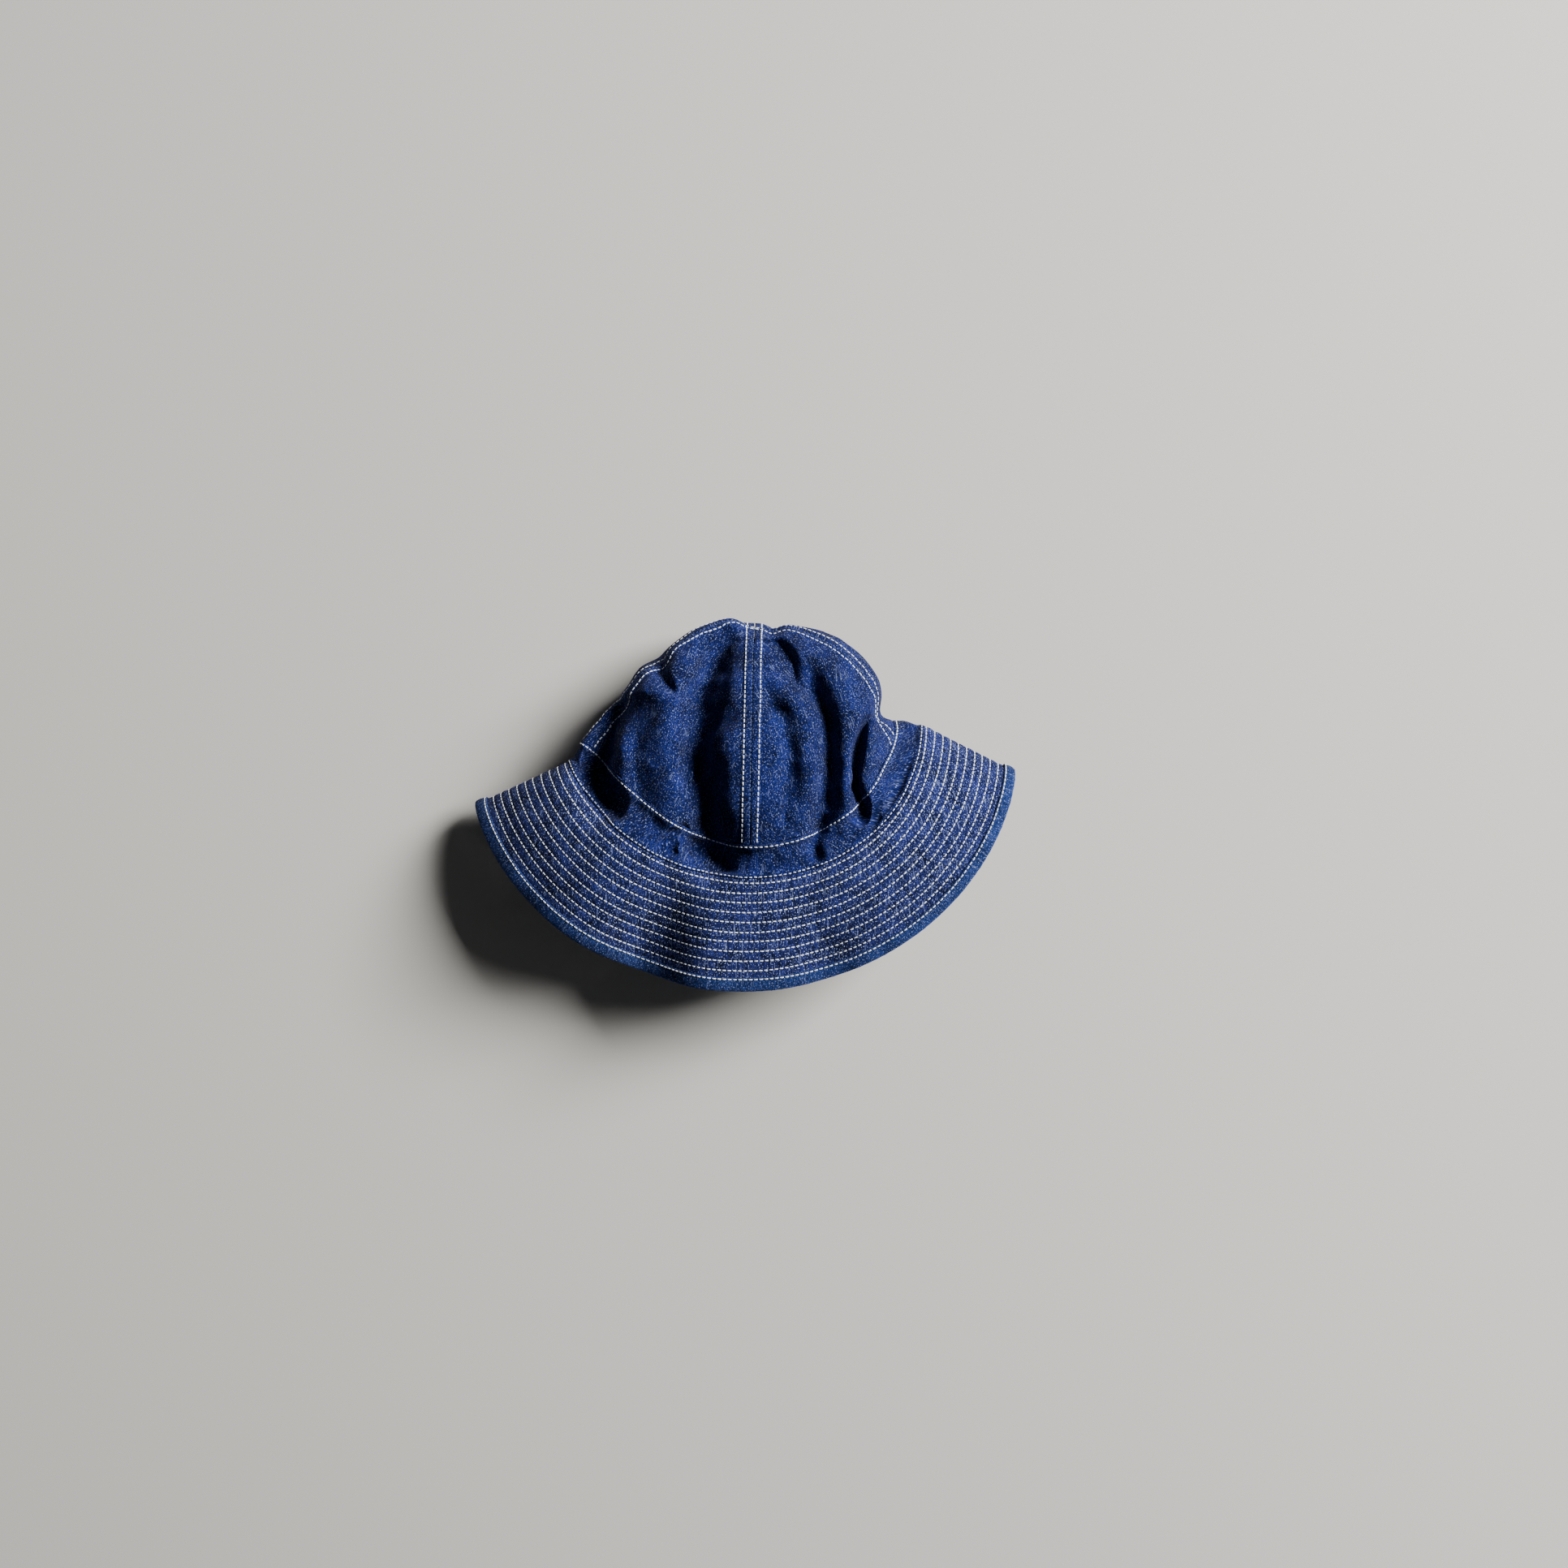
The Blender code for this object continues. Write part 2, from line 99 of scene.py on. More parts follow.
# How the band and then the brim leave the line before them, at each side of the hat, as
# shares of their own width
OUTWARD_SIDES = ("left", "right", "front", "back")
BAND_OUTWARD = (
    (-0.342, -0.586, 0.263),
    (0.779, -0.210, 0.316),
    (0.0, -0.988, -0.158),
    (0.0, -1.0, 0.0),
)
BRIM_OUTWARD = (
    (-0.873, -0.385, -0.266),
    (0.838, -0.412, -0.281),
    (-0.030, -0.982, -0.219),
    (-0.030, -0.990, 0.020),
)
BAND_FULLNESS = (1.12, 0.85)
BRIM_FULLNESS = (1.05, 1.05)

# Valleys of the upper side, each along a bent line from start through pull to end: x is a
# share of CROWN_WIDTH and y of CROWN_LENGTH, left and right are the reach of its two walls
# as shares of CROWN_WIDTH, and depth is a share of CROWN_RISE
FOLD_COLUMNS = (
    "start_x", "start_y", "pull_x", "pull_y", "end_x", "end_y", "left", "right", "depth",
)
FOLDS = {
    "deep valley beside the front seam": (
        -0.081, 0.016, -0.273, -0.648, -0.064, -1.159, 0.064, 0.059, 0.307),
    "left end of the deep valley": (
        -0.222, -0.929, -0.153, -1.065, -0.044, -1.091, 0.025, 0.025, 0.080),
    "pinch right of the tip": (
        0.047, -0.021, 0.111, -0.137, 0.152, -0.299, 0.042, 0.019, 0.110),
    "long right valley": (
        0.139, -0.120, 0.323, -0.546, 0.179, -1.006, 0.047, 0.036, 0.178),
    "tuck over the right side seam": (
        0.365, -0.401, 0.296, -0.563, 0.333, -0.903, 0.018, 0.017, 0.153),
    "hollow right of the front seam": (
        0.021, -0.260, 0.168, -0.614, 0.078, -0.929, 0.031, 0.036, 0.066),
    "small crease at the seam's foot": (
        0.116, -0.767, 0.082, -0.852, 0.093, -0.946, 0.017, 0.014, 0.020),
    "ripple across the front seam": (
        0.013, -0.401, 0.053, -0.362, 0.099, -0.410, 0.012, 0.012, 0.017),
    "left flank": (
        -0.406, -0.299, -0.538, -0.597, -0.422, -0.890, 0.067, 0.050, 0.331),
    "second fold of the left flank": (
        -0.343, -0.307, -0.369, -0.580, -0.335, -0.929, 0.045, 0.100, 0.147),
    "notch in the left outline": (
        -0.335, -0.100, -0.293, -0.175, -0.243, -0.333, 0.025, 0.020, 0.104),
    "right buckle of the band": (
        0.216, -0.852, 0.193, -0.971, 0.193, -1.077, 0.025, 0.017, 0.080),
    "left buckle of the band": (
        -0.208, -0.897, -0.243, -0.929, -0.297, -1.040, 0.019, 0.023, 0.067),
    "low crease of the left band": (
        -0.234, -0.997, -0.262, -1.031, -0.297, -1.091, 0.015, 0.015, 0.032),
    "end of the tuck in the band": (
        0.326, -0.767, 0.323, -0.835, 0.340, -0.920, 0.015, 0.013, 0.061),
    "right crease of the band": (
        0.386, -0.767, 0.372, -0.852, 0.351, -0.971, 0.015, 0.012, 0.031),
    "crease above the band's right foot": (
        0.480, -0.478, 0.501, -0.631, 0.386, -0.878, 0.015, 0.012, 0.027),
    "foot crease right of the seam": (
        0.134, -1.077, 0.174, -1.121, 0.208, -1.033, 0.012, 0.012, 0.031),
}

# Places where the cloth is pinched sideways: x, reach and push_x are shares of CROWN_WIDTH,
# y and push_y of CROWN_LENGTH
PINCHES = {
    "left outline": (-0.299, -0.152, 0.037, 0.020, -0.022),
    "second dent of the left outline": (-0.417, -0.352, 0.026, 0.012, -0.010),
    "right of the tip": (0.061, -0.001, 0.030, -0.004, -0.036),
    "right flank": (0.418, -0.389, 0.039, -0.026, -0.028),
    "foot of the tuck": (0.423, -0.665, 0.056, -0.004, 0.008),
}

# Waves of the brim: turn and reach in degrees, rise at the edge as a share of BRIM_WIDTH
WAVE_COLUMNS = ("turn", "reach", "rise")
WAVES = (
    (-22.0, 8.5, -0.195),
    (-10.0, 7.0, 0.115),
    (4.0, 8.0, 0.040),
    (17.0, 5.0, -0.055),
    (22.0, 16.0, -0.060),
    (78.0, 22.0, 0.085),
    (-38.0, 11.0, 0.080),
    (-75.0, 15.0, -0.045),
    (128.0, 15.0, 0.150),
    (168.0, 13.0, 0.110),
    (-147.0, 16.0, 0.170),
)

# Pieces of cloth: node, side seam, front or back seam, columns, rows
PANELS = (
    ("crown_front_left", -90.0, 0.0, 118, 150),
    ("crown_front_right", 90.0, 0.0, 118, 150),
    ("crown_back_right", 90.0, 180.0, 78, 120),
    ("crown_back_left", 270.0, 180.0, 78, 120),
)
SEAMS = (0.0, 90.0, 180.0, -90.0)
RING_COLUMNS = 640
BAND_ROWS = 24
PLY_ROWS = 78
HIDDEN_ROWS = 8
FOLD_STEPS = 12
FOLD_WANDER = 0.0022
BAND_DIP = 0.0021
TURN_PROBE = 0.2
WAY_PROBE = 0.03
TIP_ROUND = 0.12
TIP_WAY = 0.006
TIP_HOLE = 0.0005
SHARP_ANGLE = math.radians(60)

# Noises of the cloth: how wide their features are, and a seed
NOISE_SIDE = 32
FOLD_BENDS = ((0.017, 51), (0.017, 52))
FOLD_JITTER = (0.006, 53)
CROWN_RIPPLE = (0.0045, 8)
CROWN_CRUMPLE = (0.019, 3)
BAND_RIPPLE = (0.0038, 18)
BAND_CRUMPLE = (0.015, 13)
BRIM_CELLS = (0.012, 0.0035, 0.0030)
BRIM_SEEDS = {False: 21, True: 31}
BINDING_SWELL = (0.007, 41)

# Relief beside the seams and rows: where each form fades in or out, or how wide it is
FELL_EDGE = 0.0005
FELL_WEAR = (0.0002, 0.0004)
DIP_WIDTH = 0.0006
CROWN_PULL = 0.009
CROWN_LOOSE = (0.003, 0.020)
TIP_CALM = (0.0, 0.06)
FOOT_CALM = (0.97, 1.0)
BAND_EDGE = (0.0022, 0.0034)
BAND_EDGE_RISE = 0.0005
BAND_ROW_DIP = 0.0003
BAND_LOOSE_TOP = (0.002, 0.006)
BAND_LOOSE_FOOT = (0.001, 0.005)
BAND_PULL = 0.006
BAND_WEAR = 0.0005
QUILT_GROOVE = 0.0011
BRIM_SEAM_GROOVE = 0.0012

# Rows of stitches: how far the band's rows are from its edges, how many points a line has,
# and the way at which the crown's rows end
BAND_ROW = 0.0016
FOOT_ROW = 0.0008
BRIM_POINTS = 2400
BAND_POINTS = 2000
SEAM_POINTS = 400
SEAM_END = 0.995

CLOTH_MAP = "cloth"
SEWN_MAP = "sewn"
WEAR = "wear"


def length(name, description, default):
    """A setting in metres."""
    return FloatProperty(name=name, description=description, default=default, unit="LENGTH")


def colour(name, description, default):
    """A setting that is a colour."""
    return FloatVectorProperty(
        name=name, description=description, default=default, subtype="COLOR", min=0.0, max=1.0)


class HatSizes(PropertyGroup):
    """Sizes of the sewing and of the cloth's fine relief."""

    fell_half: length("Fell half width", "From a crown seam to the edge of its fell", 0.0048)
    seam_row: length("Seam row", "From a crown seam to each of its two stitch rows", 0.0042)
    first_row: length("First brim row", "From the brim's seam to its first quilting row", 0.0026)
    row_pitch: length("Brim row pitch", "Between the quilting rows of the brim", 0.0055)
    binding_row: length("Binding row", "From the binding's inner edge to its stitches", 0.0008)
    stitch_pitch: length("Stitch pitch", "From one stitch to the next", 0.0029)
    stitch_length: length("Stitch length", "Length of thread that shows in a stitch", 0.00225)
    thread_width: length("Thread width", "Width of the thread", 0.00078)
    quilt_puff: length("Quilt puff", "How far the brim swells between its rows", 0.00042)
    pucker: length("Pucker", "Height of the puckers along seams", 0.00045)
    wrinkle: length("Wrinkle", "Height of the crown's loose wrinkles", 0.0017)


class HatColours(PropertyGroup):
    """Colours of the cloth, the thread and the floor."""

    indigo_dark: colour(
        "Dark indigo", "The warp where the dye is deepest", (0.0012, 0.0026, 0.012))
    indigo_light: colour("Light indigo", "The warp where it is worn", (0.0125, 0.0225, 0.165))
    # The brim's light warp is painted lighter than the crown's: besides its worn tone it holds
    # painted light for the extra light the brim catches
    brim_worn_and_lit: colour("Light brim", "The worn warp of the brim", (0.022, 0.030, 0.165))
    fleck: colour("Fleck", "The undyed weft where it shows", (0.240, 0.300, 0.560))
    inside: colour("Inside", "The cloth's paler reverse", (0.110, 0.150, 0.260))
    binding_dark: colour(
        "Dark binding", "The binding where its dye is deepest", (0.002, 0.007, 0.034))
    binding_light: colour("Light binding", "The binding where it is worn", (0.021, 0.045, 0.190))
    thread: colour("Thread", "The white sewing thread", (0.86, 0.92, 1.0))
    fine_thread: colour(
        "Fine thread", "The thin thread in the grooves of the fells", (0.16, 0.22, 0.40))
    floor: colour("Floor", "The plain floor", (0.56, 0.54, 0.50))


class HatStudio(PropertyGroup):
    """The camera and the lights."""

    camera_height: length("Camera height", "Over the floor", 1.10)
    camera_x: length("Camera across", "From the hat's middle", 0.0227)
    camera_y: length("Camera along", "From the hat's middle", 0.0104)
    lens: FloatProperty(
        name="Lens", description="Focal length on a 36 mm sensor", default=43.04,
        unit="CAMERA")
    key_power: FloatProperty(
        name="Key power", description="Power of the softbox", default=360.0, unit="POWER")
    key_size: length("Key size", "Width of the softbox", 1.6)
    key_turn: FloatProperty(
        name="Key turn", description="Bearing of the softbox from the right",
        default=math.radians(28), subtype="ANGLE")
    key_rise: FloatProperty(
        name="Key rise", description="Height of the softbox over the floor, as an angle",
        default=math.radians(36), subtype="ANGLE")
    key_distance: length("Key distance", "From the hat to the softbox", 3.5)
    fill: FloatProperty(
        name="Fill", description="Strength of the light from all round", default=0.045)


def columns(names, rows):
    """A table's rows as arrays under its column names."""
    return dict(zip(names, np.array(rows, dtype=float).T))


def eased(knots, values, at):
    """A smooth curve through the knots, with no overshoot between them."""
    steps = np.diff(values) / np.diff(knots)
    slopes = np.zeros_like(values)
    slopes[0], slopes[-1] = steps[0], steps[-1]
    before, after = steps[:-1], steps[1:]
    same_way = before * after > 0
    total = np.where(same_way, before + after, 1.0)
    slopes[1:-1] = np.where(same_way, 2.0 * before * after / total, 0.0)
    place = np.clip(np.searchsorted(knots, at, side="right") - 1, 0, len(knots) - 2)
    span = knots[place + 1] - knots[place]
    t = (at - knots[place]) / span
    return (
        values[place] * (1 + 2 * t) * (1 - t) ** 2
        + values[place + 1] * t * t * (3 - 2 * t)
        + span * t * (1 - t) * (slopes[place] * (1 - t) - slopes[place + 1] * t)
    )


def step_up(low, high, value):
    """0 below low, 1 above high, and smooth between."""
    t = np.clip((value - low) / (high - low), 0.0, 1.0)
    return t * t * (3 - 2 * t)


def frame_lines(way):
    """The left, right, front and back points and the fullness of the line at each way."""
    table = columns(CROWN_COLUMNS, CROWN_LINES)
    on_crown = np.clip(way, 0.0, 1.0)
    value = {name: eased(table["way"], table[name], on_crown) for name in CROWN_COLUMNS[1:]}
    middle = FRONT_DRIFT * CROWN_WIDTH * on_crown
    side_z = value["side_z"] * CROWN_RISE
    points = {
        "left": (value["left_x"] * CROWN_WIDTH, value["left_y"] * CROWN_LENGTH, side_z),
        "right": (value["right_x"] * CROWN_WIDTH, value["right_y"] * CROWN_LENGTH, side_z),
        "front": (middle, value["front_y"] * CROWN_LENGTH, value["front_z"] * CROWN_RISE),
        "back": (middle, value["back_y"] * CROWN_LENGTH, value["back_z"] * CROWN_RISE),
    }
    on_band = np.clip(way - 1.0, 0.0, 1.0)
    on_brim = np.clip(way - 2.0, 0.0, 1.0)
    for number, name in enumerate(OUTWARD_SIDES):
        band = np.outer(on_band * BAND_WIDTH, BAND_OUTWARD[number])
        brim = np.outer(on_brim * BRIM_WIDTH, BRIM_OUTWARD[number])
        points[name] = np.stack(points[name], axis=-1) + band + brim
    left_full = value["left_full"] + on_band * (BAND_FULLNESS[0] - CROWN_LINES[-1][-2])
    right_full = value["right_full"] + on_band * (BAND_FULLNESS[1] - CROWN_LINES[-1][-1])
    left_full += on_brim * (BRIM_FULLNESS[0] - BAND_FULLNESS[0])
    right_full += on_brim * (BRIM_FULLNESS[1] - BAND_FULLNESS[1])
    return points, left_full, right_full


def noise(points, cell, seed):
    """Smooth noise from -1 to 1 in space, with features about a cell wide."""
    lattice = np.random.default_rng(seed).uniform(-1.0, 1.0, (NOISE_SIDE,) * 3)
    place = points / cell
    corner = np.floor(place).astype(int)
    t = place - corner
    t = t * t * (3 - 2 * t)
    total = np.zeros(len(points))
    for step in np.ndindex(2, 2, 2):
        value = lattice[tuple(((corner + step) % NOISE_SIDE).T)]
        share = np.where(step, t, 1 - t)
        total += value * (share[:, 0] * share[:, 1] * share[:, 2])
    return total


def fold_depth(x, y):
    """How deep the folds press the upper side down at a place seen from above."""
    flat = np.stack([x, y, np.zeros_like(x)], axis=-1)
    x = x + FOLD_WANDER * (noise(flat, *FOLD_BENDS[0]) + 0.4 * noise(flat, *FOLD_JITTER))
    y = y + FOLD_WANDER * noise(flat, *FOLD_BENDS[1])
    depth = np.zeros_like(x)
    t = np.linspace(0.0, 1.0, FOLD_STEPS + 1)[:, None]
    for row in FOLDS.values():
        fold = dict(zip(FOLD_COLUMNS, row))
        start, pull, end = (
            np.array([fold[point + "_x"] * CROWN_WIDTH, fold[point + "_y"] * CROWN_LENGTH])
            for point in ("start", "pull", "end")
        )
        left, right = fold["left"] * CROWN_WIDTH, fold["right"] * CROWN_WIDTH
        line = start * (1 - t) ** 2 + pull * 2 * t * (1 - t) + end * t * t
        low, high = line.min(axis=0) - 3 * left, line.max(axis=0) + 3 * left
        near = (x > low[0]) & (x < high[0]) & (y > low[1]) & (y < high[1])
        if not near.any():
            continue
        place = np.stack([x[near], y[near]], axis=-1)[:, None]
        step = np.diff(line, axis=0)
        from_line = place - line[:-1]
        share = np.clip((from_line * step).sum(-1) / (step * step).sum(-1), 0.0, 1.0)
        away = np.linalg.norm(from_line - share[..., None] * step, axis=-1)
        nearest = away.argmin(axis=1)
        each = np.arange(len(nearest))
        beside = step[:, 0] * from_line[..., 1] - step[:, 1] * from_line[..., 0]
        reach = np.where(beside[each, nearest] > 0, right, left)
        down_fold = (nearest + share[each, nearest]) / FOLD_STEPS
        fading = 1 - (2 * down_fold - 1) ** 4
        shape = np.exp(-((away[each, nearest] / reach) ** 2))
        depth[near] += fold["depth"] * CROWN_RISE * shape * fading
    return depth


def pinch_shift(x, y):
    """How far the pinches move a place seen from above."""
    shift_x, shift_y = np.zeros_like(x), np.zeros_like(y)
    for at_x, at_y, reach, push_x, push_y in PINCHES.values():
        away = np.hypot(x - at_x * CROWN_WIDTH, y - at_y * CROWN_LENGTH)
        share = np.exp(-((away / (reach * CROWN_WIDTH)) ** 2))
        shift_x += push_x * CROWN_WIDTH * share
        shift_y += push_y * CROWN_LENGTH * share
    return shift_x, shift_y


def wave_rise(turn):
    """How far the brim's waves lift its edge at each turn."""
    waves = columns(WAVE_COLUMNS, WAVES)
    away = (turn[:, None] - waves["turn"] + 180.0) % 360.0 - 180.0
    return (waves["rise"] * np.exp(-((away / waves["reach"]) ** 2))).sum(axis=1) * BRIM_WIDTH


def paired(turn, way):
    """Turns and ways as flat arrays of one length."""
    turn = np.atleast_1d(np.asarray(turn, dtype=float))
    way = np.atleast_1d(np.asarray(way, dtype=float))
    turn, way = np.broadcast_arrays(turn, way)
    return turn.ravel(), way.ravel()


def surface(turn, way):
    """Points of the hat's outer surface, with the crown's tip at x = y = 0."""
    turn, way = paired(turn, way)
    turn = (turn + 180.0) % 360.0 - 180.0
    points, left_full, right_full = frame_lines(way)
    lead = SEAM_LEAD * (1.0 - step_up(1.0, 2.0, way))
    size = np.abs(turn)
    angle = np.where(
        size <= 90.0,
        size * (90.0 - lead) / 90.0,
        180.0 - (180.0 - size) * (90.0 + lead) / 90.0,
    )
    across = np.sin(np.radians(angle))
    along = np.cos(np.radians(angle))
    over = np.abs(along)
    right = turn >= 0.0
    upper = along >= 0.0
    side = np.where(right[:, None], points["right"], points["left"])
    middle = np.where(upper[:, None], points["front"], points["back"])
    fullness = np.where(upper, np.where(right, right_full, left_full), 1.0)
    soft = np.where(right, RIGHT_SOFTNESS, LEFT_SOFTNESS)
    bow = (np.hypot(over, soft) - soft) / (np.hypot(1.0, soft) - soft)
    bow = bow**fullness
    lying = np.minimum(over / FLAT_SHARE, 1.0)
    height = np.where(upper, 1 - (1 - over) ** 2, 1 - (1 - lying) ** 2)
    x = middle[:, 0] + (side[:, 0] - middle[:, 0]) * across
    y = side[:, 1] + (middle[:, 1] - side[:, 1]) * bow
    z = side[:, 2] + (middle[:, 2] - side[:, 2]) * height
    z -= fold_depth(x, y) * step_up(*FOLD_FADE, along)
    on_brim = np.clip(way - 2.0, 0.0, 1.0)
    z += BRIM_DOME * 4 * on_brim * (1 - on_brim) * step_up(*DOME_FADE, along)
    z += wave_rise(turn) * np.sin(on_brim * math.pi / 2)
    clear = step_up(2.0, 3.0 - BINDING_WIDTH / BRIM_WIDTH, way) * (PLY_GAP + BINDING_CLOTH)
    shift_x, shift_y = pinch_shift(x, y)
    return np.stack([x + shift_x, y + shift_y, np.maximum(z, clear)], axis=-1)


def unit(vectors):
    """The vectors at a length of 1."""
    return vectors / np.linalg.norm(vectors, axis=-1, keepdims=True)


def slope_normal(turn, way):
    """Unit normals of the surface from its slopes."""
    low = np.maximum(way - WAY_PROBE, 0.0)
    high = np.minimum(way + WAY_PROBE, 3.0)
    down = surface(turn, high) - surface(turn, low)
    around = surface(turn + TURN_PROBE, way) - surface(turn - TURN_PROBE, way)
    return unit(np.cross(down, around))


def outward(turn, way):
    """Unit normals that point out of the hat, with a common one at the crown's tip."""
    turn, way = paired(turn, way)
    at_tip = slope_normal(np.linspace(-180.0, 135.0, 8), np.full(8, TIP_ROUND)).mean(axis=0)
    near = step_up(0.0, TIP_ROUND, way)[:, None]
    return unit(slope_normal(turn, way) * near + unit(at_tip) * (1 - near))


def footprint_middle():
    """The middle of the hat's footprint, from the surface's own reach."""
    turn, way = np.meshgrid(np.linspace(-180.0, 180.0, 181), np.linspace(0.02, 3.0, 61))
    reach = surface(turn, way)
    low, high = reach.min(axis=0), reach.max(axis=0)
    return np.array([(low[0] + high[0]) / 2, (low[1] + high[1]) / 2, 0.0])


HAT_MIDDLE = footprint_middle()


def on_hat(turn, way):
    """Turns and ways as flat arrays, and the surface's points and normals in the part's frame."""
    turn, way = paired(turn, way)
    return turn, way, surface(turn, way) - HAT_MIDDLE, outward(turn, way)


def along_line(points):
    """Distance of each point of a line from its first one."""
    steps = np.linalg.norm(np.diff(points, axis=0), axis=1)
    return np.concatenate([[0.0], np.cumsum(steps)])


def above_floor(points, height):
    """The points, with none of them lower than a height over the floor."""
    points[:, 2] = np.maximum(points[:, 2], height)
    return points


def crumple(points, cell, seed):
    """Loose wrinkles with sharp crests, each about a cell wide."""
    broad = noise(points, cell, seed)
    crests = 0.35 - np.abs(noise(points, 0.8 * cell, seed + 1))
    return broad + 0.9 * crests + 0.35 * noise(points, 0.4 * cell, seed + 2)


def hump(away, width):
    """1 at the middle of a row and 0 a few widths away from it."""
    return np.exp(-((away / width) ** 2))


def lying_share(turn):
    """1 where the back of the hat lies on the floor and 0 over its upper side."""
    return step_up(*FELL_FADE, -np.cos(np.radians(turn)))


def seam_tables():
    """For each crown seam: ways, the distance from the tip, and metres for a radian of turn."""
    ways = np.linspace(0.0, 1.0, 81)
    tables = {}
    for seam in SEAMS:
        beside = surface(seam + TURN_PROBE, ways) - surface(seam - TURN_PROBE, ways)
        around = np.linalg.norm(beside, axis=1) / np.radians(2 * TURN_PROBE)
        tables[seam] = (ways, along_line(surface(seam, ways)), around)
    return tables


SEAM_TABLES = seam_tables()


def seam_distance(turn, way, seam):
    """Distance along the cloth from one crown seam, and far away beyond a quarter turn."""
    ways, _from_tip, around = SEAM_TABLES[seam]
    away = np.radians((turn - seam + 180.0) % 360.0 - 180.0)
    distance = np.interp(way, ways, around) * np.abs(np.sin(away))
    return np.where(np.abs(away) < math.pi / 2, distance, 1.0)


def crown_skins(turn, way, sizes):
    """Outer and inner points of the crown's cloth, its normals and how worn it is."""
    turn, way, base, normal = on_hat(turn, way)
    lying = lying_share(turn)
    nearest = np.full(len(turn), 1.0)
    fell = np.zeros(len(turn))
    wear = np.zeros(len(turn))
    for seam in SEAMS:
        away = seam_distance(turn, way, seam)
        nearest = np.minimum(nearest, away)
        ridge = 1 - step_up(sizes.fell_half - FELL_EDGE, sizes.fell_half + FELL_EDGE, away)
        row, groove = hump(away - sizes.seam_row, DIP_WIDTH), hump(away, DIP_WIDTH)
        fell = np.maximum(fell, ridge * (1 - 0.40 * row - 0.45 * groove))
        wear = np.maximum(wear, hump(away - sizes.fell_half + FELL_WEAR[0], FELL_WEAR[1]))
    pull = hump(nearest - sizes.seam_row, CROWN_PULL)
    loose = step_up(*CROWN_LOOSE, nearest)
    wave = sizes.wrinkle * crumple(base, *CROWN_CRUMPLE) * (0.25 + 0.75 * loose)
    wave += sizes.pucker * noise(base, *CROWN_RIPPLE) * pull
    wave = wave * (1 - lying) * step_up(*TIP_CALM, way) * (1 - 0.6 * step_up(*FOOT_CALM, way))
    outer = base + normal * (wave + FELL_CLOTH * fell * (1 - lying))[:, None]
    inner = base + normal * (wave - CROWN_CLOTH - FELL_CLOTH * fell * lying)[:, None]
    return above_floor(outer, 0.0), above_floor(inner, CROWN_CLOTH), normal, wear


def band_skins(turn, way, sizes):
    """Outer and inner points of the band's cloth, its normals and how worn it is."""
    turn, way, base, normal = on_hat(turn, way)
    lying = lying_share(turn)
    from_top = (way - 1.0) * BAND_WIDTH
    from_foot = (2.0 - way) * BAND_WIDTH
    edge = 1 - step_up(*BAND_EDGE, from_top)
    dip = hump(from_top - BAND_ROW, DIP_WIDTH)
    loose = step_up(*BAND_LOOSE_TOP, from_top) * step_up(*BAND_LOOSE_FOOT, from_foot)
    ripple = noise(base, *BAND_RIPPLE) * (hump(from_top, BAND_PULL) + hump(from_foot, BAND_PULL))
    wave = sizes.wrinkle * crumple(base, *BAND_CRUMPLE) * loose
    wave = (wave - BAND_DIP * loose + sizes.pucker * ripple) * (1 - lying)
    lift = wave + (BAND_EDGE_RISE * edge - BAND_ROW_DIP * dip) * (1 - lying)
    outer = base + normal * lift[:, None]
    inner = base + normal * (wave - BAND_CLOTH)[:, None]
    wear = hump(from_top, BAND_WEAR)
    return above_floor(outer, 0.0), above_floor(inner, BAND_CLOTH), normal, wear


def brim_rows(sizes):
    """Distances of the quilting rows from the brim's seam."""
    bound = BRIM_WIDTH - BINDING_WIDTH
    count = int((bound - sizes.first_row) / sizes.row_pitch) + 1
    return sizes.first_row + sizes.row_pitch * np.arange(count)


def row_wander(turn, row):
    """How far a hand-guided row strays from its line at each turn."""
    angle = np.radians(turn)
    return 0.00016 * np.sin(3 * angle + 1.7 * row) + 0.00010 * np.sin(11 * angle + 2.9 * row)


def brim_lift(turn, way, base, sizes, under):
    """How far a face of the quilted brim swells between its rows of stitches."""
    from_seam = (way - 2.0) * BRIM_WIDTH
    near_row = hump(from_seam, BRIM_SEAM_GROOVE)
    for number, row in enumerate(brim_rows(sizes)):
        away = from_seam - row - row_wander(turn, number)
        near_row = np.maximum(near_row, hump(away, QUILT_GROOVE))
    broad, fine, ripple = (
        noise(base, cell, BRIM_SEEDS[under] + place) for place, cell in enumerate(BRIM_CELLS)
    )
    swell = 0.8 + 0.35 * broad + 0.30 * fine
    ripple = 0.30 * sizes.pucker * ripple
    return sizes.quilt_puff * (swell * (1 - near_row) - 0.35) + ripple * (1 - 0.5 * near_row)


def brim_skin(turn, way, sizes, under):
    """Points and outward normals of the brim's upper or under face."""
    turn, way, base, normal = on_hat(turn, way)
    lift = brim_lift(turn, way, base, sizes, under)
    if under:
        return base - normal * (2 * BRIM_PLY + PLY_GAP + lift)[:, None], -normal
    return above_floor(base + normal * lift[:, None], 0.0), normal


def grid_faces(rows, cols):
    """Quads of a grid of places, row by row."""
    first = (np.arange(rows - 1)[:, None] * cols + np.arange(cols - 1)).ravel()
    return np.stack([first, first + 1, first + cols + 1, first + cols], axis=-1)


def points_at(places, rows, cols, stride):
    """The points at some places of a grid whose last row or column may be its first again."""
    return places // stride % rows * cols + places % stride % cols


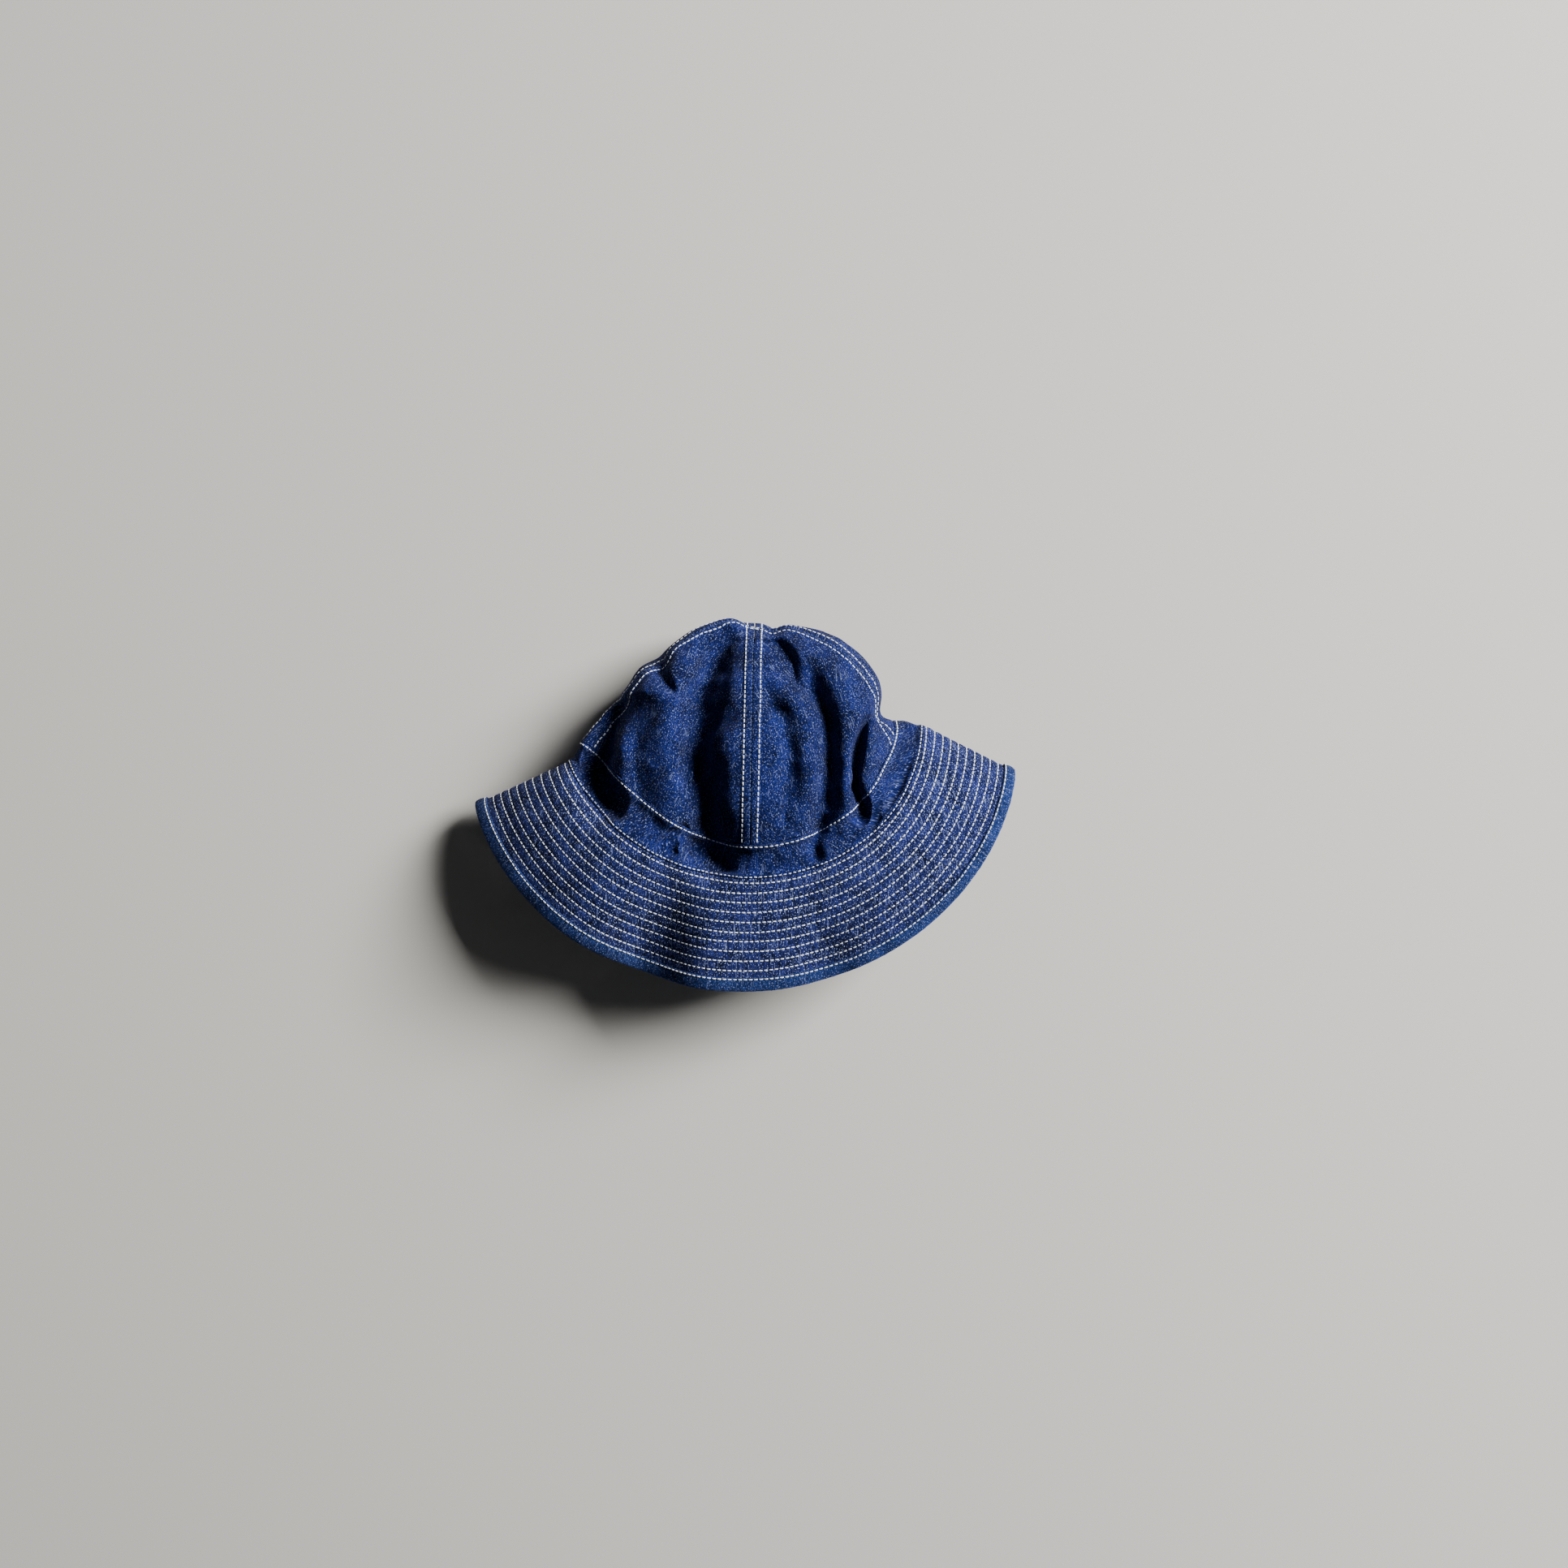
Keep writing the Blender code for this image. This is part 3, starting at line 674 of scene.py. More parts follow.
def sheet_faces(rows, inner_rows, cols, closed):
    """Quads of a closed sheet: its outer skin, its inner skin and the walls between them.

    They are given as points and as places in a grid that doesn't wrap, with a mark on the
    inner skin's.
    """
    stride = cols + 1 if closed else cols
    back = rows * stride
    last_out, last_in = back - stride, back + (inner_rows - 1) * stride
    outer = grid_faces(rows, stride)
    inner = grid_faces(inner_rows, stride)[:, ::-1] + back
    c = np.arange(stride - 1)
    quads = [
        outer,
        inner,
        np.stack([c + 1, c, back + c, back + c + 1], axis=-1),
        np.stack([last_out + c, last_out + c + 1, last_in + c + 1, last_in + c], axis=-1),
    ]
    if not closed:
        r = np.arange(rows - 1) * cols
        for low, high in ((r, r + cols), (r + 2 * cols - 1, r + cols - 1)):
            quads.append(np.stack([low, high, high + back, low + back], axis=-1))
    at = np.concatenate(quads)
    inside = np.zeros(len(at), dtype=int)
    inside[len(outer):len(outer) + len(inner)] = 1
    return points_at(at, rows + inner_rows, cols, stride), at, inside


def faces_inward(points, faces):
    """Whether a closed body's faces point into it, from the sign of its volume."""
    a, b, c, d = (points[faces[:, corner]] for corner in range(4))
    volume = (a * np.cross(b, c)).sum() + (a * np.cross(c, d)).sum()
    return volume < 0


def placed(name, data):
    """A new object with its data, in the scene."""
    made = bpy.data.objects.new(name, data)
    bpy.context.scene.collection.objects.link(made)
    return made


def mesh_piece(name, points, faces, materials, at, cloth, inside=None, wear=None, sewn=None):
    """A smooth mesh object, with its places on the flat cloth and its wear if they are given."""
    if faces_inward(points, faces):
        faces = faces[:, ::-1]
        at = at[:, ::-1]
    mesh = bpy.data.meshes.new(name)
    mesh.from_pydata(points.tolist(), [], faces.tolist())
    for material in materials:
        mesh.materials.append(material)
    for label, places in ((CLOTH_MAP, cloth), (SEWN_MAP, sewn)):
        if places is not None:
            layer = mesh.uv_layers.new(name=label)
            layer.uv.foreach_set("vector", places[at.ravel()].astype(np.float32).ravel())
    if inside is not None:
        mesh.polygons.foreach_set("material_index", inside)
    if wear is not None:
        mesh.attributes.new(WEAR, "FLOAT", "POINT").data.foreach_set("value", wear)
    mesh.shade_smooth()
    mesh.set_sharp_from_angle(angle=SHARP_ANGLE)
    return placed(name, mesh)


def two_faced(name, skins, rows, cols, closed, cloth, materials):
    """A sheet of cloth with a face and a reverse, as both of its skins have the same grid."""
    outer, inner, _normal, wear = skins
    faces, at, inside = sheet_faces(rows, rows, cols, closed)
    return mesh_piece(
        name, np.concatenate([outer, inner]), faces, materials, at,
        np.concatenate([cloth, cloth]), inside, np.concatenate([wear, wear]),
    )


def along_rows(points, rows, cols):
    """Distance along each row of a grid of points, from its middle column."""
    grid = points.reshape(rows, cols, 3)
    steps = np.linalg.norm(np.diff(grid, axis=1), axis=-1)
    along = np.concatenate([np.zeros((rows, 1)), np.cumsum(steps, axis=1)], axis=1)
    return along - along[:, cols // 2:cols // 2 + 1]


def unrolled(round_hat, down):
    """Places on a flat strip, from the columns' distances round the hat and the rows' down."""
    return np.stack([np.tile(round_hat, len(down)), np.repeat(down, len(round_hat))], axis=-1)


# Distances of the close columns from their seam, and the share of a row they take at most
SEAM_STEPS = np.array([
    0.0002, 0.0006, 0.0011, 0.0018, 0.0026, 0.0033,
    0.0038, 0.0042, 0.0046, 0.0050, 0.0055, 0.0065,
])
SEAM_SHARE = 0.42


def panel_turns(side, middle, count, ways):
    """Turns of a quarter panel's columns at each way, close together beside its seams."""
    corners = np.linspace(side, middle, 25)
    grid = surface(*np.meshgrid(corners, ways)).reshape(len(ways), -1, 3)
    width = np.linalg.norm(np.diff(grid, axis=1), axis=-1).sum(axis=1)
    shrink = np.minimum(1.0, SEAM_SHARE * width / SEAM_STEPS[-1])
    toward = math.copysign(1.0, middle - side)
    ends = []
    for seam, sign in ((side, toward), (middle, -toward)):
        beside = surface(seam + sign * TURN_PROBE, ways) - surface(seam, ways)
        a_metre = TURN_PROBE / np.linalg.norm(beside, axis=1)
        ends.append(seam + sign * np.outer(shrink * a_metre, SEAM_STEPS))
    start, end = ends
    share = np.linspace(0.0, 1.0, count + 2)[1:-1]
    between = start[:, -1:] + (end[:, -1:] - start[:, -1:]) * share
    return np.concatenate([start, between, end[:, ::-1]], axis=1)


def crown_panel(name, side, middle, count, rows, sizes, materials):
    """One quarter of the crown, with the fells, dips and puckers of its seams."""
    foot = 1.0 - SEWN_GAP / 2 / CROWN_LENGTH
    ways = np.concatenate([[TIP_WAY], np.linspace(0.0, foot, rows)[1:]])
    turns = panel_turns(side, middle, count, ways)
    cols = turns.shape[1]
    skins = crown_skins(turns, np.repeat(ways, cols).reshape(turns.shape), sizes)
    across = along_rows(skins[0], rows, cols)
    middle_line = skins[0].reshape(rows, cols, 3)[:, cols // 2]
    down = np.maximum(along_line(middle_line), TIP_HOLE)[:, None]
    bearing = np.clip(across / down, -1.0, 1.0)
    cloth = np.stack([(down * np.sin(bearing)).ravel(), (down * np.cos(bearing)).ravel()], axis=-1)
    return two_faced(name + "_cloth", skins, rows, cols, False, cloth, materials)


def ring_turns():
    """Turns of the columns of a piece that runs all the way round the hat."""
    fine = np.linspace(-180.0, 180.0, 20 * RING_COLUMNS + 1)
    along = along_line(surface(fine, 2.5))
    steps = np.linspace(0.0, along[-1], RING_COLUMNS + 1)[:-1]
    return np.interp(steps, along, fine)


def ring_round(way):
    """Distance round the hat at one way, from the centre front, for columns and the last edge."""
    along = along_line(surface(np.concatenate([ring_turns(), [180.0]]), way))
    return along - along[len(along) // 2]


def crown_band(sizes, materials):
    """The band between the crown and the brim."""
    turns = ring_turns()
    half_gap = SEWN_GAP / 2 / BAND_WIDTH
    ways = np.linspace(1.0 + half_gap, 2.0 - half_gap, BAND_ROWS)
    skins = band_skins(*np.meshgrid(turns, ways), sizes)
    cloth = unrolled(ring_round(1.5), (ways - 1.0) * BAND_WIDTH)
    return two_faced("crown_band_cloth", skins, BAND_ROWS, len(turns), True, cloth, materials)


def brim_cloth(ways):
    """Places on the flat ring that the brim is cut from, for each way and each column."""
    inner, outer = ring_round(2.0), ring_round(3.0)
    spread = (np.ptp(outer) - np.ptp(inner)) / BRIM_WIDTH
    radius = np.ptp(inner) / spread
    from_seam = np.repeat((ways - 2.0) * BRIM_WIDTH, len(inner))
    bearing = np.tile(ring_round(2.5) / (radius + BRIM_WIDTH / 2), len(ways))
    return np.stack([
        (radius + from_seam) * np.sin(bearing), (radius + from_seam) * np.cos(bearing),
    ], axis=-1)


def brim_ply(name, sizes, materials, under):
    """One ply of the quilted brim: a fine outer face and a plain hidden one."""
    turns = ring_turns()
    start = 2.0 + SEWN_GAP / 2 / BRIM_WIDTH
    edge = 3.0 - (BINDING_CLOTH + PLY_GAP) / BRIM_WIDTH
    ways = np.linspace(start, edge, PLY_ROWS)
    hidden_ways = np.linspace(start, edge, HIDDEN_ROWS)
    shown, _normal = brim_skin(*np.meshgrid(turns, ways), sizes, under)
    _turn, _way, base, normal = on_hat(*np.meshgrid(turns, hidden_ways))
    hidden = base - normal * (BRIM_PLY + (PLY_GAP if under else 0.0))
    cloth = np.concatenate([brim_cloth(ways), brim_cloth(hidden_ways)])
    sewn = unrolled(ring_round(2.5), (np.concatenate([ways, hidden_ways]) - 2.0) * BRIM_WIDTH)
    faces, at, _inside = sheet_faces(PLY_ROWS, HIDDEN_ROWS, len(turns), closed=True)
    points = np.concatenate([shown, hidden])
    return mesh_piece(name, points, faces, materials, at, cloth, sewn=sewn)


# Cross-section of the binding, from its inner edge over the rim to its inner edge below:
# the distance from the rim as a share of BINDING_WIDTH, and the height over the brim's face,
# or below its under face, as a share of BINDING_CLOTH
BINDING_PROFILE = (
    (1.00, 0.10), (1.00, 0.70), (0.98, 0.98), (0.95, 0.96), (0.90, 0.84), (0.85, 0.96),
    (0.80, 1.16), (0.72, 1.32), (0.60, 1.44), (0.46, 1.50), (0.32, 1.50), (0.20, 1.45),
    (0.11, 1.30), (0.05, 0.95), (0.015, 0.45), (0.0, -0.20),
)
BINDING_LINING = (0.14, 0.10)

# The slanting ropes along the binding: their pitch, their slant over its width in turns of a
# rope, their height, and the height of the uneven swelling under them
ROPE_PITCH = 0.0052
ROPE_SLANT = 1.4
ROPE_HEIGHT = 0.00013
SWELL_HEIGHT = 0.00026
BINDING_WEAR = 0.16


def binding(materials):
    """The strip folded over the brim's edge, roped along its rim and pulled in by its row."""
    turns = ring_turns()
    shown, lining = np.array(BINDING_PROFILE), np.array([BINDING_LINING])
    profile = np.concatenate([shown, shown[::-1], lining, lining])
    rows, cols = len(profile), len(turns)
    under = np.repeat((False, True, True, False), (len(shown), len(shown), 1, 1))
    from_rim, height = np.repeat(profile, cols, axis=0).T
    ways = 3.0 - profile[:, 0] * BINDING_WIDTH / BRIM_WIDTH
    _turn, _way, base, normal = on_hat(*np.meshgrid(turns, ways))
    round_hat = ring_round(3.0)
    slant = np.tile(round_hat[:-1], rows) / ROPE_PITCH + from_rim * ROPE_SLANT
    swell = noise(base, *BINDING_SWELL) * SWELL_HEIGHT
    swell = (swell + ROPE_HEIGHT * np.sin(2 * math.pi * slant)) * step_up(0.3, 1.0, height)
    over = PLY_GAP + height * BINDING_CLOTH
    below = -(2 * BRIM_PLY + PLY_GAP) - over - swell
    lift = np.where(np.repeat(under, cols), below, over + swell)
    points = base + normal * lift[:, None]
    first = points.reshape(rows, cols, 3)[:, cols // 2]
    cloth = unrolled(round_hat, along_line(np.concatenate([first, first[:1]])))
    at = grid_faces(rows + 1, cols + 1)
    faces = points_at(at, rows, cols, cols + 1)
    return mesh_piece(
        "brim_binding_strip", above_floor(points, 0.0), faces, materials, at, cloth,
        wear=hump(from_rim, BINDING_WEAR),
    )


# A stitch from end to end: the share of its length, its share of the thread's full size and
# its middle's height over the cloth as a share of the thread's width
STITCH_STATIONS = ((0.0, 0.40, -0.40), (0.12, 1.0, 0.12), (0.88, 1.0, 0.12), (1.0, 0.40, -0.40))
STITCH_SIDES = 5
THREAD_FLATNESS = 0.60
FLOOR_CLEARANCE = 0.0002


def stitched(line, pitch, length, width):
    """Corners of the stitches along a line on the cloth, where they clear the floor."""
    points, normals = line
    along = along_line(points)
    count = int(along[-1] / pitch)
    starts = (np.arange(count) + 0.5 * (1 - length / pitch)) * (along[-1] / count)
    share, full, height = (np.array(column) for column in zip(*STITCH_STATIONS))
    places = starts[:, None] + share * length
    at, up = (
        np.stack([np.interp(places, along, values[:, axis]) for axis in range(3)], axis=-1)
        for values in (points, normals)
    )
    up = unit(up)
    beside = unit(np.cross(unit(at[:, -1:] - at[:, :1]), up))
    at = at + up * (height * width)[None, :, None]
    angle = np.linspace(0.0, 2 * math.pi, STITCH_SIDES, endpoint=False)[:, None]
    radius = (full * width / 2)[None, :, None, None]
    corners = at[:, :, None] + radius * (
        np.cos(angle) * beside[:, :, None] + np.sin(angle) * THREAD_FLATNESS * up[:, :, None]
    )
    return corners[corners[..., 2].min(axis=(1, 2)) > FLOOR_CLEARANCE]


def stitches_piece(name, rows, material):
    """All the stitches of some rows as one mesh of small closed bodies."""
    corners = np.concatenate(rows)
    count, stations, sides, _axes = corners.shape
    number = np.arange(stations * sides).reshape(stations, sides)
    across = np.roll(number, -1, axis=1)
    quads = np.stack([number[:-1], across[:-1], across[1:], number[1:]], axis=-1).reshape(-1, 4)
    caps = [number[0][::-1].tolist(), number[-1].tolist()]
    faces = []
    for first in range(0, count * stations * sides, stations * sides):
        faces += (quads + first).tolist()
        faces += [[corner + first for corner in cap] for cap in caps]
    mesh = bpy.data.meshes.new(name)
    mesh.from_pydata(corners.reshape(-1, 3).tolist(), [], faces)
    mesh.materials.append(material)
    mesh.shade_smooth()
    return placed(name, mesh)


def plain_stitch(sizes):
    """Pitch, length and width of the plain stitches."""
    return sizes.stitch_pitch, sizes.stitch_length, sizes.thread_width


# The fine thread in a fell's groove, and the row at the band's foot: pitch, length and width
FINE_STITCH = (0.0024, 0.0016, 0.00024)
FOOT_STITCH = (0.0027, 0.0018, 0.00062)
FINE_OFFSET = -0.0003

# How high the binding's row lies over the brim's face, and its number among the brim's rows
BINDING_SEAT = PLY_GAP + 0.90 * BINDING_CLOTH
BINDING_ROW_NUMBER = 20

# Noises of the denim: features for each metre across and down the cloth, and detail
DENIM_NOISES = {
    "warp": ((2600.0, 330.0, 1.0), 1.0),
    "grain": ((2000.0, 1500.0, 1.0), 2.0),
    "dye": ((75.0, 50.0, 1.0), 3.0),
    "cloud": ((520.0, 360.0, 1.0), 1.0),
    "salt": ((1500.0, 1050.0, 1.0), 0.0),
    "slub": ((1100.0, 110.0, 1.0), 0.0),
}
PUCKER_NOISE = ((430.0, 110.0, 1.0), 1.0)

# Noises of the thread, for each metre of space: its twist, which paints shade into its colour, and
# the lint it has gathered
THREAD_TWIST = ((900.0, 900.0, 900.0), 1.0)
THREAD_SOIL = ((60.0, 60.0, 60.0), 1.0)
# How dark painted shade and lint together make the thread at most
THREAD_SHADE = 0.62

# Radians of the twill's lines for each metre across and down the cloth, and how far they stray
TWILL_WAVES = (5200.0, 3900.0, 0.0)
TWILL_STRAY = 9.0


class Socket:
    """A socket of a shader tree that can be used in arithmetic."""

    def __init__(self, shader, link):
        self.shader = shader
        self.link = link

    def __add__(self, other):
        return self.shader.math("ADD", self, other)

    def __sub__(self, other):
        return self.shader.math("SUBTRACT", self, other)

    def __mul__(self, other):
        return self.shader.math("MULTIPLY", self, other)

    __radd__ = __add__
    __rmul__ = __mul__

    def clamped(self):
        """This value, kept from 0 to 1."""
        return self.shader.node("ShaderNodeClamp", {}, {"Value": self})


class Shader:
    """A material whose node tree is written as expressions."""

    def __init__(self, name):
        self.material = bpy.data.materials.new(name)
        self.material.use_nodes = True
        self.tree = self.material.node_tree
        self.surface = self.tree.nodes["Principled BSDF"]

    def node(self, kind, settings, inputs, output=0):
        """A node's output. Its settings are set first, and then its sockets' values or links."""
        made = self.tree.nodes.new(kind)
        for name, value in settings.items():
            setattr(made, name, value)
        for name, value in inputs.items():
            self.feed(made.inputs[name], value)
        return Socket(self, made.outputs[output])

    def feed(self, socket, value):
        """Links a socket to an expression, or sets its value."""
        if isinstance(value, Socket):
            self.tree.links.new(value.link, socket)
        else:
            socket.default_value = value

    def math(self, operation, first, second):
        """The result of some arithmetic."""
        return self.node("ShaderNodeMath", {"operation": operation}, {0: first, 1: second})

    def mix(self, factor, first, second):
        """A colour between two others."""
        first, second = ((*c, 1.0) if isinstance(c, tuple) else c for c in (first, second))
        inputs = {0: factor, 6: first, 7: second}
        return self.node("ShaderNodeMix", {"data_type": "RGBA"}, inputs, output=2)

    def noise(self, place, scale, detail):
        """Noise from about 0.3 to 0.7, with features 1 over the scale wide."""
        wide = self.node("ShaderNodeVectorMath", {"operation": "MULTIPLY"}, {0: place, 1: scale})
        inputs = {"Vector": wide, "Scale": 1.0, "Detail": detail}
        return self.node("ShaderNodeTexNoise", {"noise_dimensions": "2D"}, inputs)

    def twill(self, place, stray):
        """The slanting lines of a twill from -1 to 1, which stray a little."""
        inputs = {0: place, 1: TWILL_WAVES}
        slant = self.node("ShaderNodeVectorMath", {"operation": "DOT_PRODUCT"}, inputs, "Value")
        return self.node("ShaderNodeMath", {"operation": "SINE"}, {0: slant + stray * TWILL_STRAY})

    def bump(self, height, distance, strength):
        """Normals of a relief."""
        return self.node(
            "ShaderNodeBump", {}, {"Height": height, "Distance": distance, "Strength": strength})

    def finish(self, **inputs):
        """Sets the surface's sockets and gives the material."""
        for name, value in inputs.items():
            self.feed(self.surface.inputs[name.replace("_", " ")], value)
        return self.material


def denim(name, dark, light, fleck, flecks, worn=False, quilted=False):
    """Indigo denim: streaky warp, pale flecks and slubs of the weft, and a twill relief."""
    shader = Shader(name)
    cloth = shader.node("ShaderNodeUVMap", {"uv_map": CLOTH_MAP}, {})
    warp, grain, dye, cloud, salt, slub = (
        shader.noise(cloth, scale, detail) for scale, detail in DENIM_NOISES.values()
    )
    twill = shader.twill(cloth, grain)
    tone = 0.55 + (grain - 0.5) * 1.8 + (warp - 0.5) * 1.2 + (dye - 0.5) * 0.9
    tone = tone + (cloud - 0.5) * 0.4 + twill * 0.08
    relief = (warp + grain) * 0.5 + 0.2 * cloud + 0.12 * twill
    if worn:
        wear = shader.node("ShaderNodeAttribute", {"attribute_name": WEAR}, {}, "Fac")
        tone = tone + 0.5 * wear
    if quilted:
        sewn = shader.node("ShaderNodeUVMap", {"uv_map": SEWN_MAP}, {})
        pucker = shader.noise(sewn, *PUCKER_NOISE)
        tone = tone + (pucker - 0.5) * 0.7
        relief = relief + pucker * 0.9
    tone = tone.clamped()
    color = shader.mix(tone * tone, tuple(dark), tuple(light))
    speck = ((salt - 0.69) * 8.0).clamped() * 0.8 * flecks
    streak = ((slub - 0.72) * 6.0).clamped() * 0.35 * flecks
    color = shader.mix((speck + streak).clamped(), color, tuple(fleck))
    return shader.finish(
        Base_Color=color, Roughness=0.92, Normal=shader.bump(relief, 0.0006, 0.8),
        Sheen_Weight=0.02, Sheen_Roughness=0.6, Specular_IOR_Level=0.05,
    )


def thread(name, color):
    """Sewing thread, with a little shade where it twists and has gathered lint."""
    shader = Shader(name)
    place = shader.node("ShaderNodeTexCoord", {}, {}, "Object")
    shade = shader.noise(place, *THREAD_TWIST)
    soil = shader.noise(place, *THREAD_SOIL)
    # Painted shade where the thread twists and real lint both pull it toward its dim colour
    clean_and_unshaded = 0.75 + (shade - 0.5) * 1.5 + (soil - 0.5) * 1.2
    dim = tuple(THREAD_SHADE * part for part in color)
    return shader.finish(
        Base_Color=shader.mix(clean_and_unshaded.clamped(), dim, tuple(color)), Roughness=0.7,
        Normal=shader.bump(shade, 0.0002, 0.5), Specular_IOR_Level=0.3,
    )


def plain(name, color, roughness):
    """A plain finish for the stage."""
    return Shader(name).finish(Base_Color=(*color, 1.0), Roughness=roughness)


def finishes(colours):
    """The hat's materials by name, made once."""
    made = bpy.data.materials
    if "denim_face" not in made:
        dark, fleck = colours.indigo_dark, colours.fleck
        denim("denim_face", dark, colours.indigo_light, fleck, 0.7, worn=True)
        denim("denim_reverse", colours.indigo_light, colours.inside, fleck, 1.4)
        # The brim's denim is a lit copy of the crown's, with painted light in its lighter warp
        denim("brim_face", dark, colours.brim_worn_and_lit, fleck, 1.1, quilted=True)
        denim("binding_face", colours.binding_dark, colours.binding_light, fleck, 0.7, worn=True)
        thread("thread_white", colours.thread)
        thread("thread_blue", colours.fine_thread)
    return made


def dress(piece, slot, *nodes):
    """The piece rides on the hat's one body and stands for its nodes; its slot is not used."""
    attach(piece, "root")
    if nodes:
        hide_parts(*nodes)


def dress_cloth(piece, slot, node):
    """The piece is a sheet of cloth that stands for one solid."""
    dress(piece, slot, node)


class HAT_OT_crown(Operator):
    """Makes the four panels of the crown."""

    bl_idname = "hat.crown"
    bl_label = "Crown panels"

    def execute(self, context):
        sizes, made = context.scene.hat_sizes, finishes(context.scene.hat_colours)
        materials = [made["denim_face"], made["denim_reverse"]]
        for name, side, middle, count, rows in PANELS:
            piece = crown_panel(name, side, middle, count, rows, sizes, materials)
            dress_cloth(piece, "denim", name)
        return {"FINISHED"}


class HAT_OT_band(Operator):
    """Makes the band between the crown and the brim."""

    bl_idname = "hat.band"
    bl_label = "Band"

    def execute(self, context):
        sizes, made = context.scene.hat_sizes, finishes(context.scene.hat_colours)
        piece = crown_band(sizes, [made["denim_face"], made["denim_reverse"]])
        dress_cloth(piece, "denim", "crown_band")
        return {"FINISHED"}


class HAT_OT_brim(Operator):
    """Makes the two plies of the quilted brim."""

    bl_idname = "hat.brim"
    bl_label = "Brim"

    def execute(self, context):
        sizes, made = context.scene.hat_sizes, finishes(context.scene.hat_colours)
        for side, under in (("top", False), ("under", True)):
            piece = brim_ply("brim_" + side + "_cloth", sizes, [made["brim_face"]], under)
            dress_cloth(piece, "brim_denim", "brim_" + side + "_ply")
        return {"FINISHED"}


class HAT_OT_binding(Operator):
    """Makes the strip folded over the brim's edge."""

    bl_idname = "hat.binding"
    bl_label = "Binding"

    def execute(self, context):
        made = finishes(context.scene.hat_colours)
        dress_cloth(binding([made["binding_face"]]), "binding", "brim_binding")
        return {"FINISHED"}


def brim_line(sizes, under, start, toward, distance, number):
    """A hand-guided line round a face of the brim, a distance from a way, with its normals."""
    turn = np.linspace(-180.0, 180.0, BRIM_POINTS)
    strayed = distance + row_wander(turn, number)
    return brim_skin(turn, start + toward * strayed / BRIM_WIDTH, sizes, under)


class HAT_OT_brim_stitches(Operator):
    """Sews the quilting rows and the binding's rows on both faces of the brim."""

    bl_idname = "hat.brim_stitches"
    bl_label = "Brim stitches"

    def execute(self, context):
        sizes, made = context.scene.hat_sizes, finishes(context.scene.hat_colours)
        inside = BINDING_WIDTH - sizes.binding_row
        for name, under in (("brim_top_stitches", False), ("brim_under_stitches", True)):
            lines = [
                brim_line(sizes, under, 2.0, 1.0, row, number)
                for number, row in enumerate(brim_rows(sizes))
            ]
            points, normals = brim_line(sizes, under, 3.0, -1.0, inside, BINDING_ROW_NUMBER)
            lines.append((points + normals * BINDING_SEAT, normals))
            rows = [stitched(line, *plain_stitch(sizes)) for line in lines]
            dress(stitches_piece(name, rows, made["thread_white"]), "thread")
        return {"FINISHED"}


def seam_row(seam, offset, sizes, inside):
    """A row beside a crown seam, from its foot over the tip and down the seam opposite."""
    opposite = seam - 180.0 if seam > 0 else seam + 180.0
    row_turns, row_ways = [], []
    for half, side in ((seam, offset), (opposite, -offset)):
        ways, from_tip, around = SEAM_TABLES[half]
        along = np.linspace(np.interp(SEAM_END, ways, from_tip), 0.0, SEAM_POINTS)
        way = np.interp(np.hypot(along, offset), from_tip, ways)
        reach = np.maximum(np.interp(way, ways, around), abs(side))
        row_turns.append(half + np.degrees(np.arcsin(np.clip(side / reach, -1.0, 1.0))))
        row_ways.append(np.minimum(way, SEAM_END))
    turn = np.concatenate([row_turns[0], row_turns[1][::-1]])
    way = np.concatenate([row_ways[0], row_ways[1][::-1]])
    outer, inner, normal, _wear = crown_skins(turn, way, sizes)
    return (inner, -normal) if inside else (outer, normal)


class HAT_OT_crown_stitches(Operator):
    """Sews the twin rows of the crown's seams and the rows at the band's edges."""

    bl_idname = "hat.crown_stitches"
    bl_label = "Crown stitches"

    def execute(self, context):
        sizes, made = context.scene.hat_sizes, finishes(context.scene.hat_colours)
        for inside in (False, True):
            rows, fine = [], []
            for seam in (0.0, 90.0):
                for offset in (-sizes.seam_row, sizes.seam_row):
                    line = seam_row(seam, offset, sizes, inside)
                    rows.append(stitched(line, *plain_stitch(sizes)))
                fine.append(stitched(seam_row(seam, FINE_OFFSET, sizes, inside), *FINE_STITCH))
            name = "crown_inner" if inside else "crown_seam"
            dress(stitches_piece(name + "_stitches", rows, made["thread_white"]), "thread")
            dress(stitches_piece(name + "_fine_stitches", fine, made["thread_blue"]), "thread")
        turn = np.linspace(-180.0, 180.0, BAND_POINTS)
        band_rows = ((BAND_ROW, plain_stitch(sizes)), (BAND_WIDTH - FOOT_ROW, FOOT_STITCH))
        rows = []
        for from_top, stitch in band_rows:
            outer, inner, normal, _wear = band_skins(turn, 1.0 + from_top / BAND_WIDTH, sizes)
            rows += [stitched((outer, normal), *stitch), stitched((inner, -normal), *stitch)]
        dress(stitches_piece("band_stitches", rows, made["thread_white"]), "thread")
        return {"FINISHED"}


# The stage: half the floor's width, the colour of the light from all round, and the camera's
# sensor in millimetres
FLOOR_HALF = 3.0
SKY = (0.93, 0.96, 1.0, 1.0)
SENSOR_WIDTH = 36.0


